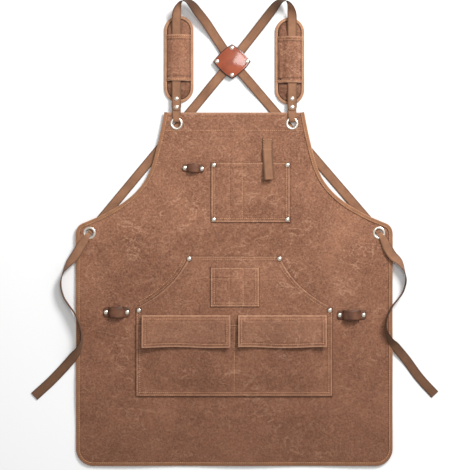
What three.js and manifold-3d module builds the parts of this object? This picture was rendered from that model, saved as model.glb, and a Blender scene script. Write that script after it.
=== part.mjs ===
// Canvas work apron with a cross-back harness, laid out flat and face up.
// Millimetres. +X across the apron, +Y from the hem towards the bib, +Z up from the surface it lies on.
// Pieces are drawn with Y = 0 at the hem, and the whole group is then centred on its own footprint.
import * as THREE from "three";
import { mergeVertices } from "three/addons/utils/BufferGeometryUtils.js";
import Module from "manifold-3d";

const wasm = await Module();
wasm.setup();

// Cloth, tape, webbing and leather thicknesses
const CANVAS = 1.2;
const TAPE = 1.0;
const WEBBING = 1.8;
const LOOP_WEBBING = 1.2;
const LEATHER = 1.8;
const GAP = 0.3; // clearance between pieces that touch

// Body panel
const BODY_HALF = 340;
const BODY_LENGTH = 760;
const BIB_HALF = 150;
const SIDE_LENGTH = 521; // hem to underarm
const UNDERARM_RADIUS = 24;
const HEM_RADIUS = 37;
const ARMHOLE = [ // share of the way across and down, from the bib's corner to the underarm
  [0.064, 0.234],
  [0.163, 0.502],
  [0.29, 0.669],
  [0.483, 0.803],
  [0.738, 0.916],
];
const BINDING_WIDTH = 8.5;
const UNDERARM_SEAM = 0.2; // gap between two tapes, as a share of the outline's step there
const FACING_DEPTH = 41;
const BREAK = { below: 62, above: 36 }; // where the skirt rises to the bib, below the underarm

// Rivets
const RIVET = { cap: 4.6, capHeight: 1.8, shank: 1.5, back: 4.0, backHeight: 1.0, sides: 10 };
const HOLE = RIVET.shank + GAP;

// Grommets
const GROMMET = { hole: 8.5, barrel: 0.8, flange: 13.5, flangeHeight: 1.2, washer: 0.8, sides: 20 };
const FLANGE_ROUND = { outer: 1.5, inner: 1.2, shoulder: 0.4 }; // shoulder: share of the flange's height
const BIB_GROMMET = { x: 124, belowTop: 25 };
const SIDE_GROMMET = { fromEdge: 29.5, belowUnderarm: 20.5 };

// Harness
const STRAP = 20;
const STRAP_IN_GROMMET = 10;
const STRAP_START = [[3, 10], [6, 16.5], [11, STRAP], [63, STRAP], [133, STRAP]]; // Y above the bib, width
const STRAP_RIVETS = [10, 28]; // above the bib's top edge
const BIB_LOOP = { width: 18, shoulder: 15, inHole: 12, above: 37, intoHole: 3.5, kink: 1.9 };

// Shoulder pads
const PAD = { half: 31.5, length: 187, x: 119, aboveBib: 20, height: 9, endTaper: 24 };
const PAD_EDGE = { seam: 1.0, tape: 0.8, width: 6 }; // sewn margin inside its folded tape
const PAD_DROP = { left: 0, right: 4 };
const SLEEVE = { half: 25, start: 47, length: 99, play: 1.5 };

// Cross patch
const PATCH = { x: -5, halfX: 40, halfY: 37, bulge: 3, rivetInset: 8 };
const PAD_TO_STRAP = 10; // between a pad's lower end and the strap that crosses below it

// Pockets
const POCKET_DEPTH = 5.2;
const SEAM_MARGIN = 12;
const SEAM_WALL = 3;
const CHEST = { left: -50, right: 120, bottom: 237, height: 129, seams: [-11, 17] }; // bottom: below the bib's top
const POUCH = { half: 211, topHalf: 98, bottom: 150, side: 340, top: 451 };
const PEN = { left: -51, right: 54, bottom: 342, top: 427, seams: [-11, 19] };
const LOWER = { top: 305 };
const FLAP = { outer: 198, inner: 8.5, root: 316, seat: 8, length: 60, thick: 1.6, lift: 3.4 };
const CORNER_RIVET = 6; // rivet centre from a pocket's edges
const TAB = { x: 71, width: 22, base: 28, below: 84, length: 62, lean: 4, overPocket: 0.36 }; // below the bib's top

// Tool loops, each a strip of leather that arches between two riveted feet
const TOOL_LOOPS = [
  {
    name: "screwdriver_loop", x: -88, y: BODY_LENGTH - 121, length: 46, width: 18, foot: 9.5, rise: 9, turn: -3, onBib: true,
  },
  { name: "pliers_loop", x: -253, y: 330, length: 56, width: 23, foot: 10.5, rise: 11, turn: 0, onBib: false },
  { name: "hammer_loop", x: 252, y: 324, length: 62, width: 21, foot: 11, rise: 12, turn: 0, onBib: false },
];

// Ties: x, y, z, roll in degrees, width; from the grommet to the free end
const TIE_LEFT = [
  [-314.7, 494.2, 10.9, 0, 11],
  [-321, 484.5, 10.9, 0, 16],
  [-330, 470, 10.3, 0, 20],
  [-341, 452, 10.6, 8, 20],
  [-354, 436, 11.3, 40, 20],
  [-366, 417, 11, 78, 20],
  [-372, 392, 10.4, 90, 20],
  [-366, 364, 10.4, 90, 20],
  [-355, 346, 11.2, 90, 20],
  [-341, 327, 14.8, 90, 20],
  [-330, 300, 14.8, 90, 20],
  [-326, 274, 14.8, 98, 20],
  [-333, 253, 13.4, 125, 20],
  [-347, 233, 8.4, 165, 20],
  [-368, 209, 2.2, 180, 20],
  [-394, 182, 1.2, 180, 20],
  [-430, 149, 1.2, 180, 20],
];
const TIE_RIGHT = [
  [314.7, 494.2, 10.9, 0, 11],
  [321, 484, 10.9, 0, 16],
  [328, 469, 10.3, 0, 20],
  [339, 452, 10.6, -8, 20],
  [354, 438, 11.3, -40, 20],
  [364, 420, 11, -78, 20],
  [368, 399, 10.4, -90, 20],
  [361, 373, 10.4, -90, 20],
  [351, 359, 11.2, -90, 20],
  [338, 343, 14.8, -90, 20],
  [328, 322, 14.8, -90, 20],
  [324, 297, 14.8, -98, 20],
  [333, 273, 13.4, -125, 20],
  [347, 255, 8.4, -165, 20],
  [370, 227, 2.2, -180, 20],
  [398, 189, 1.2, -180, 20],
  [431, 153, 1.2, -180, 20],
];

// Turnover at a shoulder: outward offset from the strap's line, Y above the bib, z above the strap, roll
const TURNOVER = [
  [0, 190, 0, 0],
  [0, 200, 1, 6],
  [-0.8, 212, 3.8, 22],
  [-4.5, 226, 8.6, 58],
  [-11, 235, 11, 90],
  [-21, 237, 11.4, 122],
  [-33, 229, 9.6, 150],
  [-46, 213, 5.8, 172],
  [-64, 190, 1, 180],
];

// Then along a line through the patch to the far grommet: distances from the patch's middle, and from the
// grommet's with how far the strap lies below the grommet's mid-height, and its width
const UNDER_PATCH = [-66, -46, 0, 46, 66];
const PAST_PATCH = [105, 200, 300];
const INTO_GROMMET = [
  [-70, 5.9, STRAP],
  [-34, 5.9, STRAP],
  [-GROMMET.hole - 8, 5.4, 14],
  [-GROMMET.hole + 1, 3.8, STRAP_IN_GROMMET],
  [-2 * GAP, 0, STRAP_IN_GROMMET],
];

// Levels
const SKIRT_Z = Math.max(TAPE, RIVET.backHeight) + GAP;
const FLOOR_STRAP_Z = GAP + WEBBING / 2;
const BEHIND_LOOP_Z = 2 * GAP + WEBBING;
const WASHER_Z = BEHIND_LOOP_Z + LOOP_WEBBING + GAP;
const FACING_Z = WASHER_Z + GROMMET.washer + GAP;
const BIB_Z = FACING_Z + CANVAS + GAP;
const BIB_TOP = BIB_Z + CANVAS;
const SKIRT_TOP = SKIRT_Z + CANVAS;
const FLANGE_TOP = BIB_TOP + GAP + GROMMET.flangeHeight;
const STRAP_Z = PAD.height + 2 * GAP; // underside of the strap over a pad
const FRONT_LEG_Z = STRAP_Z - GAP - LOOP_WEBBING;
const BACK_LEG_Z = FRONT_LEG_Z - GAP - LOOP_WEBBING;
const UNDERARM_Y = SIDE_LENGTH;
const RISE_START = UNDERARM_Y - BREAK.below;
const RISE_END = UNDERARM_Y - BREAK.above;

// Materials
const canvas = new THREE.MeshStandardMaterial({ color: 0x966650, roughness: 0.85, metalness: 0 });
const binding = new THREE.MeshStandardMaterial({ color: 0xaa7350, roughness: 0.85, metalness: 0 });
const webbing = new THREE.MeshStandardMaterial({ color: 0xa57858, roughness: 0.9, metalness: 0 });
const leather = new THREE.MeshStandardMaterial({ color: 0x7c4f3a, roughness: 0.6, metalness: 0 });
const patchLeather = new THREE.MeshStandardMaterial({ color: 0xb4502f, roughness: 0.25, metalness: 0 });
const nickel = new THREE.MeshStandardMaterial({ color: 0xe0ddd8, roughness: 0.25, metalness: 1 });

const apron = new THREE.Group();
const cordNames = [];

function add(name, geometry, material, parent = apron) {
  const mesh = new THREE.Mesh(geometry, material);
  mesh.name = name;
  parent.add(mesh);
  return mesh;
}

// Solids for cutting and joining
function solid(geometry) {
  const bare = new THREE.BufferGeometry().setAttribute("position", geometry.getAttribute("position"));
  if (geometry.index) bare.setIndex(geometry.index);
  const merged = mergeVertices(bare.index ? bare.toNonIndexed() : bare, 1e-3);
  return new wasm.Manifold(
    new wasm.Mesh({
      numProp: 3,
      vertProperties: new Float32Array(merged.attributes.position.array),
      triVerts: new Uint32Array(merged.index.array),
    }),
  );
}

function geometryOf(made) {
  const mesh = made.getMesh();
  const points = new Float32Array(mesh.numVert * 3);
  for (let i = 0; i < mesh.numVert; i++)
    points.set(mesh.vertProperties.subarray(i * mesh.numProp, i * mesh.numProp + 3), i * 3);
  return new THREE.BufferGeometry()
    .setAttribute("position", new THREE.BufferAttribute(points, 3))
    .setIndex(new THREE.BufferAttribute(mesh.triVerts, 1));
}

function plate(shape, bottom, top, curveSegments = 12) {
  const options = { depth: top - bottom, bevelEnabled: false, curveSegments };
  return solid(new THREE.ExtrudeGeometry(shape, options).translate(0, 0, bottom));
}

function box(x0, x1, y0, y1, z0, z1) {
  return solid(
    new THREE.BoxGeometry(x1 - x0, y1 - y0, z1 - z0).translate((x0 + x1) / 2, (y0 + y1) / 2, (z0 + z1) / 2),
  );
}

function drill(x, y, radius, z0, z1, sides = RIVET.sides) {
  const bit = new THREE.CylinderGeometry(radius, radius, z1 - z0, sides);
  return solid(bit.rotateX(Math.PI / 2).translate(x, y, (z0 + z1) / 2));
}

function rectangle(x0, x1, y0, y1) {
  const shape = new THREE.Shape();
  shape.moveTo(x0, y0).lineTo(x1, y0).lineTo(x1, y1).lineTo(x0, y1).closePath();
  return shape;
}

// A closed solid through rings of corners; each ring turns the same way round the path.
function loft(rings) {
  const sides = rings[0].length;
  const points = rings.flat().flatMap((p) => [p.x, p.y, p.z]);
  const index = [];
  for (let i = 0; i + 1 < rings.length; i++)
    for (let j = 0; j < sides; j++) {
      const a = i * sides + j;
      const b = i * sides + ((j + 1) % sides);
      index.push(a, b + sides, b, a, a + sides, b + sides);
    }
  return { points, index, sides, last: (rings.length - 1) * sides };
}

function closeLoft({ points, index, sides, last }, caps) {
  for (const [a, b, c] of caps) {
    index.push(a, b, c);
    index.push(last + c, last + b, last + a);
  }
  return new THREE.BufferGeometry()
    .setAttribute("position", new THREE.BufferAttribute(new Float32Array(points), 3))
    .setIndex(index);
}

// A flat strap along hand-chosen stations [x, y, z, roll, width].
// Roll 0 lies face up, 90 stands on edge with its face to the right of the way it runs.
function strap(stations, thickness, steps) {
  const path = new THREE.CatmullRomCurve3(stations.map(([x, y, z]) => new THREE.Vector3(x, y, z)));
  const lie = new THREE.CatmullRomCurve3(stations.map(([, , , roll, width]) => new THREE.Vector3(roll, width, 0)));
  const up = new THREE.Vector3(0, 0, 1);
  const rings = [];
  for (let i = 0; i <= steps; i++) {
    const centre = path.getPoint(i / steps);
    centre.z = Math.max(centre.z, FLOOR_STRAP_Z);
    const along = path.getTangent(i / steps);
    const { x: roll, y: width } = lie.getPoint(i / steps);
    const right = new THREE.Vector3().crossVectors(along, up).normalize();
    const face = new THREE.Vector3().crossVectors(right, along).normalize();
    const angle = THREE.MathUtils.degToRad(roll);
    const side = right.clone().multiplyScalar(Math.cos(angle)).addScaledVector(face, -Math.sin(angle));
    const normal = right.clone().multiplyScalar(Math.sin(angle)).addScaledVector(face, Math.cos(angle));
    rings.push(flatRing(centre, side.multiplyScalar(width / 2), normal.multiplyScalar(thickness / 2)));
  }
  return closeLoft(loft(rings), [[0, 1, 2], [0, 2, 3]]);
}

function flatRing(centre, side, normal) {
  return [
    centre.clone().add(side).add(normal),
    centre.clone().sub(side).add(normal),
    centre.clone().sub(side).sub(normal),
    centre.clone().add(side).sub(normal),
  ];
}

// A strap in the YZ plane at one x: stations [y, z, width]
function uprightStrap(x, stations, thickness, steps) {
  const path = new THREE.CatmullRomCurve3(stations.map(([y, z]) => new THREE.Vector3(x, y, z)));
  const lie = new THREE.CatmullRomCurve3(stations.map(([, , width]) => new THREE.Vector3(width, 0, 0)));
  const rings = [];
  for (let i = 0; i <= steps; i++) {
    const along = path.getTangent(i / steps);
    const side = new THREE.Vector3(1, 0, 0);
    const normal = new THREE.Vector3().crossVectors(side, along).normalize();
    const width = lie.getPoint(i / steps).x;
    rings.push(
      flatRing(path.getPoint(i / steps), side.multiplyScalar(width / 2), normal.multiplyScalar(thickness / 2)),
    );
  }
  return closeLoft(loft(rings), [[0, 1, 2], [0, 2, 3]]);
}

// Height of the body panel's underside
function level(y) {
  const t = THREE.MathUtils.clamp((y - RISE_START) / (RISE_END - RISE_START), 0, 1);
  return SKIRT_Z + (BIB_Z - SKIRT_Z) * t;
}

// Right half of the body's outline, from the bib's corner down to the hem's middle
function halfOutline() {
  const run = BODY_HALF - UNDERARM_RADIUS * 0.6 - BIB_HALF;
  const drop = BODY_LENGTH - UNDERARM_Y;
  const armhole = [[0, 0], ...ARMHOLE, [1, 1]].map(
    ([across, down]) => new THREE.Vector2(BIB_HALF + across * run, BODY_LENGTH - down * drop),
  );
  const points = new THREE.SplineCurve(armhole).getPoints(18);
  const armEnd = points.length;
  const corner = new THREE.QuadraticBezierCurve(
    points[points.length - 1],
    new THREE.Vector2(BODY_HALF, UNDERARM_Y - UNDERARM_RADIUS * 0.25),
    new THREE.Vector2(BODY_HALF, UNDERARM_Y - UNDERARM_RADIUS),
  );
  points.push(...corner.getPoints(5).slice(1));
  points.push(new THREE.Vector2(BODY_HALF, RISE_END - 1));
  points.push(new THREE.Vector2(BODY_HALF, RISE_START));
  const hem = new THREE.EllipseCurve(BODY_HALF - HEM_RADIUS, HEM_RADIUS, HEM_RADIUS, HEM_RADIUS, 0, -Math.PI / 2, true);
  points.push(...hem.getPoints(8));
  return { points, armEnd };
}

// The outline moved inwards by a distance, point for point
function inset(points, distance) {
  return points.map((point, i) => {
    const before = points[Math.max(i - 1, 0)];
    const after = points[Math.min(i + 1, points.length - 1)];
    const along = after.clone().sub(before).normalize();
    return point.clone().add(new THREE.Vector2(along.y, -along.x).multiplyScalar(distance));
  });
}

const { points: outline, armEnd } = halfOutline();
const panelEdge = inset(outline, TAPE + GAP);

const bibGrommetY = BODY_LENGTH - BIB_GROMMET.belowTop;
const sideGrommet = { x: BODY_HALF - SIDE_GROMMET.fromEdge, y: UNDERARM_Y - SIDE_GROMMET.belowUnderarm };
const chestBottom = BODY_LENGTH - CHEST.bottom;
const chestTop = chestBottom + CHEST.height;

// The cross patch lies where the straps to the side grommets just clear the pads' lower ends
function patchHeight() {
  const padEnd = new THREE.Vector2(-PAD.x, BODY_LENGTH + PAD.aboveBib + PAD.half);
  const toPad = padEnd.clone().sub(new THREE.Vector2(-sideGrommet.x, sideGrommet.y));
  const aside = Math.asin((PAD.half + PAD_TO_STRAP + STRAP / 2) / toPad.length());
  return sideGrommet.y + Math.tan(toPad.angle() - aside) * (PATCH.x + sideGrommet.x);
}
const patchY = patchHeight();

// Places of the rivets that go through the body
function loopRivets({ x, y, length, foot, turn }) {
  const angle = THREE.MathUtils.degToRad(turn);
  const reach = length / 2 - foot / 2;
  return [-1, 1].map((end) => [x + end * reach * Math.cos(angle), y + end * reach * Math.sin(angle)]);
}
const chestRivets = [
  [CHEST.left + CORNER_RIVET, chestTop - CORNER_RIVET],
  [CHEST.right - CORNER_RIVET, chestTop - CORNER_RIVET],
  [CHEST.left + CORNER_RIVET, chestBottom + CORNER_RIVET],
  [CHEST.right - CORNER_RIVET, chestBottom + CORNER_RIVET],
];
const pouchRivets = [
  [-POUCH.topHalf + 1, POUCH.top - CORNER_RIVET],
  [POUCH.topHalf - 1, POUCH.top - CORNER_RIVET],
  [-POUCH.half + CORNER_RIVET, POUCH.side - CORNER_RIVET],
  [POUCH.half - CORNER_RIVET, POUCH.side - CORNER_RIVET],
];

// A hole through the cloth for a grommet's barrel
function barrelHole(x, y) {
  return drill(x, y, GROMMET.hole + GROMMET.barrel + GAP, 0, BIB_TOP + 1, GROMMET.sides);
}

function cut(made, holes) {
  return holes.reduce((left, hole) => left.subtract(hole), made);
}

// Body panel: a sheet lofted from the bib's top edge to the hem
function bodyPanel() {
  const rings = panelEdge.map((p) => {
    const bottom = level(p.y);
    return [
      new THREE.Vector3(-p.x, p.y, bottom),
      new THREE.Vector3(-p.x, p.y, bottom + CANVAS),
      new THREE.Vector3(p.x, p.y, bottom + CANVAS),
      new THREE.Vector3(p.x, p.y, bottom),
    ];
  });
  const sheet = solid(closeLoft(loft(rings), [[0, 1, 2], [0, 2, 3]]));
  const rivets = [...chestRivets, ...pouchRivets, ...TOOL_LOOPS.flatMap(loopRivets)];
  const holes = rivets.map(([x, y]) => drill(x, y, HOLE, 0, BIB_TOP + 1));
  for (const side of [-1, 1]) {
    holes.push(barrelHole(side * BIB_GROMMET.x, bibGrommetY));
    holes.push(barrelHole(side * sideGrommet.x, sideGrommet.y));
  }
  return geometryOf(cut(sheet, holes));
}

// Binding: a tape folded round the panel's edge, a U in section
function bindingAlong(stations) {
  const rings = stations.map(({ outer, wall, lip }) => {
    const bottom = level(outer.y) - GAP - TAPE;
    const slot = bottom + TAPE;
    const slotTop = level(outer.y) + CANVAS + GAP;
    const at = (p, z) => new THREE.Vector3(p.x, p.y, z);
    return [
      at(outer, bottom),
      at(lip, bottom),
      at(lip, slot),
      at(wall, slot),
      at(wall, slotTop),
      at(lip, slotTop),
      at(lip, slotTop + TAPE),
      at(outer, slotTop + TAPE),
    ];
  });
  return closeLoft(loft(rings), [[0, 1, 2], [0, 2, 3], [0, 3, 4], [0, 4, 7], [4, 5, 6], [4, 6, 7]]);
}

// The whole edge, from the bib's right corner round the hem to its left one, in three tapes that meet at the underarms
function bindings() {
  const whole = [...outline, ...outline.map((p) => new THREE.Vector2(-p.x, p.y)).reverse()];
  const wall = inset(whole, TAPE);
  const lip = inset(whole, BINDING_WIDTH);
  const stations = whole.map((outer, i) => ({ outer, wall: wall[i], lip: lip[i] }));
  const towards = (from, to) => ({
    outer: from.outer.clone().lerp(to.outer, UNDERARM_SEAM),
    wall: from.wall.clone().lerp(to.wall, UNDERARM_SEAM),
    lip: from.lip.clone().lerp(to.lip, UNDERARM_SEAM),
  });
  const skirt = stations.slice(armEnd - 1, stations.length - armEnd + 1);
  const ends = [towards(skirt[0], skirt[1]), towards(skirt.at(-1), skirt.at(-2))];
  add("armhole_binding_right", bindingAlong(stations.slice(0, armEnd)), binding);
  add("armhole_binding_left", bindingAlong(stations.slice(-armEnd)), binding);
  add("skirt_binding", bindingAlong([ends[0], ...skirt.slice(1, -1), ends[1]]), binding);
}

// Facing: the doubled cloth behind the bib's top edge, inside the armhole bindings
function facing() {
  const foot = BODY_LENGTH - FACING_DEPTH;
  const inside = inset(outline, BINDING_WIDTH + GAP).filter((p) => p.y > foot && p.y < BODY_LENGTH - TAPE);
  const topHalf = inside[0].x;
  const footHalf = inside.at(-1).x;
  const shape = new THREE.Shape();
  shape.moveTo(-footHalf, foot).lineTo(footHalf, foot).lineTo(topHalf, BODY_LENGTH - TAPE);
  shape.lineTo(-topHalf, BODY_LENGTH - TAPE).closePath();
  const holes = [-1, 1].map((side) => barrelHole(side * BIB_GROMMET.x, bibGrommetY));
  return geometryOf(cut(plate(shape, FACING_Z, FACING_Z + CANVAS), holes));
}

function lathe(profile, sides) {
  const points = profile.map(([r, z]) => new THREE.Vector2(r, z));
  return new THREE.LatheGeometry(points, sides).rotateX(Math.PI / 2);
}

// A rivet from its back disc at z0 to the underside of its cap at z1
function rivet(name, x, y, z0, z1, parent = apron) {
  const { cap, capHeight, shank, back, backHeight, sides } = RIVET;
  const profile = [
    [0, z0],
    [back, z0],
    [back, z0 + backHeight],
    [shank, z0 + backHeight],
    [shank, z1],
    [cap, z1],
    [cap * 0.86, z1 + capHeight * 0.7],
    [cap * 0.5, z1 + capHeight],
    [0, z1 + capHeight],
  ];
  return add(name, lathe(profile, sides).translate(x, y, 0), nickel, parent);
}

function grommet(name, x, y, washerZ) {
  const { hole, barrel, flange, flangeHeight, washer, sides } = GROMMET;
  const seat = BIB_TOP + GAP;
  const eyelet = [
    [hole, washerZ],
    [hole + barrel, washerZ],
    [hole + barrel, seat],
    [flange, seat],
    [flange, seat + flangeHeight * FLANGE_ROUND.shoulder],
    [flange - FLANGE_ROUND.outer, seat + flangeHeight],
    [hole + FLANGE_ROUND.inner, seat + flangeHeight],
    [hole, seat + flangeHeight * FLANGE_ROUND.shoulder],
    [hole, washerZ],
  ];
  const ring = [
    [hole + barrel + GAP, washerZ],
    [flange, washerZ],
    [flange, washerZ + washer],
    [hole + barrel + GAP, washerZ + washer],
    [hole + barrel + GAP, washerZ],
  ];
  add(name + "_eyelet", lathe(eyelet, sides).translate(x, y, 0), nickel);
  add(name + "_washer", lathe(ring, sides).translate(x, y, 0), nickel);
}

// A pocket: a sewn margin with a raised front, open along its top edge, with seams that divide it
function pocket({ left, right, bottom, top, seams }, base) {
  const front = base + POCKET_DEPTH;
  const inLeft = left + SEAM_MARGIN;
  const inRight = right - SEAM_MARGIN;
  const inBottom = bottom + SEAM_MARGIN;
  let made = plate(rectangle(left, right, bottom, top), base, base + CANVAS);
  made = made.add(box(inLeft, inRight, inBottom, top, base, front + CANVAS));
  const edges = [inLeft + CANVAS, ...seams.flatMap((x) => [x - SEAM_WALL / 2, x + SEAM_WALL / 2]), inRight - CANVAS];
  for (let i = 0; i < edges.length; i += 2)
    made = made.subtract(box(edges[i], edges[i + 1], inBottom + CANVAS, top + 1, base - 1, front));
  return made;
}

// Pouch: a wide hand pocket with two curved side openings, and the ridges that the flaps are sewn along
function pouch(base) {
  const shape = new THREE.Shape();
  shape.moveTo(-POUCH.half, POUCH.bottom).lineTo(POUCH.half, POUCH.bottom).lineTo(POUCH.half, POUCH.side);
  const reach = POUCH.half - POUCH.topHalf;
  const climb = POUCH.top - POUCH.side;
  const curve = (side, t) => side * (POUCH.half - reach * t);
  shape.bezierCurveTo(
    curve(1, 0.52), POUCH.side + climb * 0.26, curve(1, 0.83), POUCH.side + climb * 0.6, POUCH.topHalf, POUCH.top,
  );
  shape.lineTo(-POUCH.topHalf, POUCH.top);
  shape.bezierCurveTo(
    curve(-1, 0.83), POUCH.side + climb * 0.6, curve(-1, 0.52), POUCH.side + climb * 0.26, -POUCH.half, POUCH.side,
  );
  const raised = POUCH.half - SEAM_MARGIN;
  const low = POUCH.bottom + SEAM_MARGIN;
  const high = POUCH.top - SEAM_MARGIN;
  const front = base + POCKET_DEPTH;
  let made = plate(shape, base, front + CANVAS).intersect(box(-raised, raised, low, high, base, front + CANVAS));
  made = made.add(plate(shape, base, base + CANVAS));
  made = made.subtract(box(-raised + CANVAS, raised - CANVAS, low + CANVAS, high - CANVAS, base - 1, front));
  for (const side of [-1, 1]) {
    const [x0, x1] = [side * FLAP.inner, side * FLAP.outer].sort((a, b) => a - b);
    made = made.add(box(x0, x1, FLAP.root, FLAP.root + FLAP.seat, front + CANVAS / 2, FLAP_SEAT_Z));
  }
  return made;
}

// Twin lower pockets: a front that wraps the pouch's raised middle, with a seam down its centre
function lowerPockets(base, pouchFront) {
  const raised = POUCH.half - SEAM_MARGIN;
  const low = POUCH.bottom + SEAM_MARGIN;
  const front = pouchFront + CANVAS + GAP + POCKET_DEPTH;
  const wall = GAP + CANVAS;
  let made = box(-raised - wall, raised + wall, low - wall, LOWER.top, base, front + CANVAS);
  made = made.add(box(-POUCH.half, POUCH.half, POUCH.bottom, LOWER.top, base, base + CANVAS));
  made = made.subtract(
    box(-raised - GAP, raised + GAP, low - GAP, LOWER.top + 1, base - 1, pouchFront + CANVAS + GAP),
  );
  for (const side of [-1, 1]) {
    const [x0, x1] = [side * (SEAM_WALL / 2), side * (raised + GAP)].sort((a, b) => a - b);
    made = made.subtract(box(x0, x1, low - GAP, LOWER.top + 1, pouchFront, front));
  }
  return made;
}

const pouchBase = SKIRT_TOP + GAP;
const pouchFront = pouchBase + POCKET_DEPTH;
const lowerBase = pouchBase + CANVAS + GAP;
const onPouch = pouchFront + CANVAS + GAP;
const lowerTop = onPouch + POCKET_DEPTH + CANVAS;
const FLAP_SEAT_Z = lowerTop;

function skirtPockets() {
  const rivetHoles = pouchRivets.map(([x, y]) => drill(x, y, HOLE, 0, lowerTop + 2));
  add("pouch_panel", geometryOf(cut(pouch(pouchBase), rivetHoles)), canvas);
  add("lower_pocket_panel", geometryOf(lowerPockets(lowerBase, pouchFront)), canvas);
  add("pen_pocket_panel", geometryOf(pocket(PEN, onPouch)), canvas);
  pouchRivets.forEach(([x, y], i) =>
    rivet("pouch_rivet_" + (i + 1), x, y, 0, pouchBase + CANVAS + GAP),
  );
}

function chestPocket() {
  const base = BIB_TOP + GAP;
  const frame = { left: CHEST.left, right: CHEST.right, bottom: chestBottom, top: chestTop, seams: CHEST.seams };
  const holes = chestRivets.map(([x, y]) => drill(x, y, HOLE, 0, base + CANVAS + 1));
  add("chest_pocket_panel", geometryOf(cut(pocket(frame, base), holes)), canvas);
  const backZ = BIB_Z - GAP - RIVET.backHeight;
  chestRivets.forEach(([x, y], i) => rivet("chest_rivet_" + (i + 1), x, y, backZ, base + CANVAS + GAP));
}

// A flap or tab that turns about the top corner of its root edge
function hinged(name, x0, x1, lean, { rootY, rootZ, length, thick, rise }, material) {
  const shape = new THREE.Shape();
  shape.moveTo(x0, 0).lineTo(x0 + lean, -length).lineTo(x1 + lean, -length).lineTo(x1, 0).closePath();
  const geometry = new THREE.ExtrudeGeometry(shape, { depth: thick, bevelEnabled: false });
  const mesh = add(name, geometry.translate(0, 0, -thick), material);
  mesh.position.set(0, rootY, rootZ + thick);
  mesh.rotation.x = -THREE.MathUtils.degToRad(rise);
  return mesh;
}

function flaps() {
  const rise = THREE.MathUtils.radToDeg(Math.asin(FLAP.lift / FLAP.length));
  const frame = {
    rootY: FLAP.root - GAP, rootZ: FLAP_SEAT_Z + GAP, length: FLAP.length, thick: FLAP.thick, rise,
  };
  hinged("pocket_flap_left", -FLAP.outer, -FLAP.inner, 0, frame, canvas);
  hinged("pocket_flap_right", FLAP.inner, FLAP.outer, 0, frame, canvas);
}

function chestTab() {
  const base = BIB_TOP + GAP;
  const hingeY = BODY_LENGTH - TAB.below;
  const x0 = TAB.x - TAB.width / 2;
  add("chest_tab_base", geometryOf(box(x0, x0 + TAB.width, hingeY, hingeY + TAB.base, base, base + WEBBING)), webbing);
  const climb = POCKET_DEPTH + CANVAS + TAB.overPocket - WEBBING - GAP;
  const rise = THREE.MathUtils.radToDeg(Math.atan(climb / (hingeY - chestTop)));
  const frame = { rootY: hingeY, rootZ: base + WEBBING + GAP, length: TAB.length, thick: WEBBING, rise };
  hinged("chest_tab", x0, x0 + TAB.width, TAB.lean, frame, webbing);
}

// A leather strip that arches up between two flat feet
function toolLoop(spec) {
  const { name, x, y, length, width, foot, rise, turn, onBib } = spec;
  const surface = (onBib ? BIB_TOP : SKIRT_TOP) + GAP;
  const half = length / 2;
  const shape = new THREE.Shape();
  shape.moveTo(half, 0).lineTo(half, LEATHER).lineTo(half - foot, LEATHER);
  shape.absellipse(0, LEATHER, half - foot, rise, 0, Math.PI, false, 0);
  shape.lineTo(-half, LEATHER).lineTo(-half, 0).lineTo(-half + foot + LEATHER, 0);
  shape.absellipse(0, 0, half - foot - LEATHER, rise, Math.PI, 0, true, 0);
  shape.closePath();
  const strip = new THREE.ExtrudeGeometry(shape, { depth: width, bevelEnabled: false, curveSegments: 10 });
  strip.translate(0, 0, -width / 2).rotateX(Math.PI / 2).rotateZ(THREE.MathUtils.degToRad(turn));
  strip.translate(x, y, surface);
  const holes = loopRivets(spec).map(([rx, ry]) => drill(rx, ry, HOLE, surface - 1, surface + LEATHER + 1));
  add(name, geometryOf(cut(solid(strip), holes)), leather);
  const backZ = (onBib ? BIB_Z : SKIRT_Z) - GAP - RIVET.backHeight;
  loopRivets(spec).forEach(([rx, ry], i) =>
    rivet(name + "_rivet_" + (i + 1), rx, ry, backZ, surface + LEATHER + GAP),
  );
}

// The loop that ties a strap to a bib grommet: down the front, through the hole and up behind
function bibLoop(name, side) {
  const x = side * BIB_GROMMET.x;
  const top = BODY_LENGTH + BIB_LOOP.above;
  const frontZ = FRONT_LEG_Z + LOOP_WEBBING / 2;
  const backZ = BACK_LEG_Z + LOOP_WEBBING / 2;
  const over = FLANGE_TOP + GAP + LOOP_WEBBING / 2;
  const under = BEHIND_LOOP_Z + LOOP_WEBBING / 2;
  const middle = (over + under) / 2;
  const { width, shoulder, inHole } = BIB_LOOP;
  const turn = bibGrommetY + BIB_LOOP.intoHole;
  const stations = [
    [top, frontZ, width],
    [BODY_LENGTH + 20, frontZ, width],
    [BODY_LENGTH + 5, frontZ, width],
    [BODY_LENGTH - 6, over, width],
    [turn + 8.5, over + 0.2, shoulder],
    [turn + 3.4, over - 0.1, inHole],
    [turn + 0.5, over - 1.8, inHole],
    [turn, middle, inHole],
    [turn + 0.5, under + 1.7, inHole],
    [turn + 3.4, under + 0.05, inHole],
    [turn + 9, under, shoulder],
    [BODY_LENGTH - 2, under, width],
    [BODY_LENGTH + 7, under + BIB_LOOP.kink, width],
    [BODY_LENGTH + 15, under + 2.6, width],
    [BODY_LENGTH + 24, backZ, width],
    [top, backZ, width],
  ];
  const holes = STRAP_RIVETS.map((above) => drill(x, BODY_LENGTH + above, HOLE, 0, STRAP_Z + WEBBING));
  add(name, geometryOf(cut(solid(uprightStrap(x, stations, LOOP_WEBBING, 40)), holes)), webbing);
}

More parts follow.
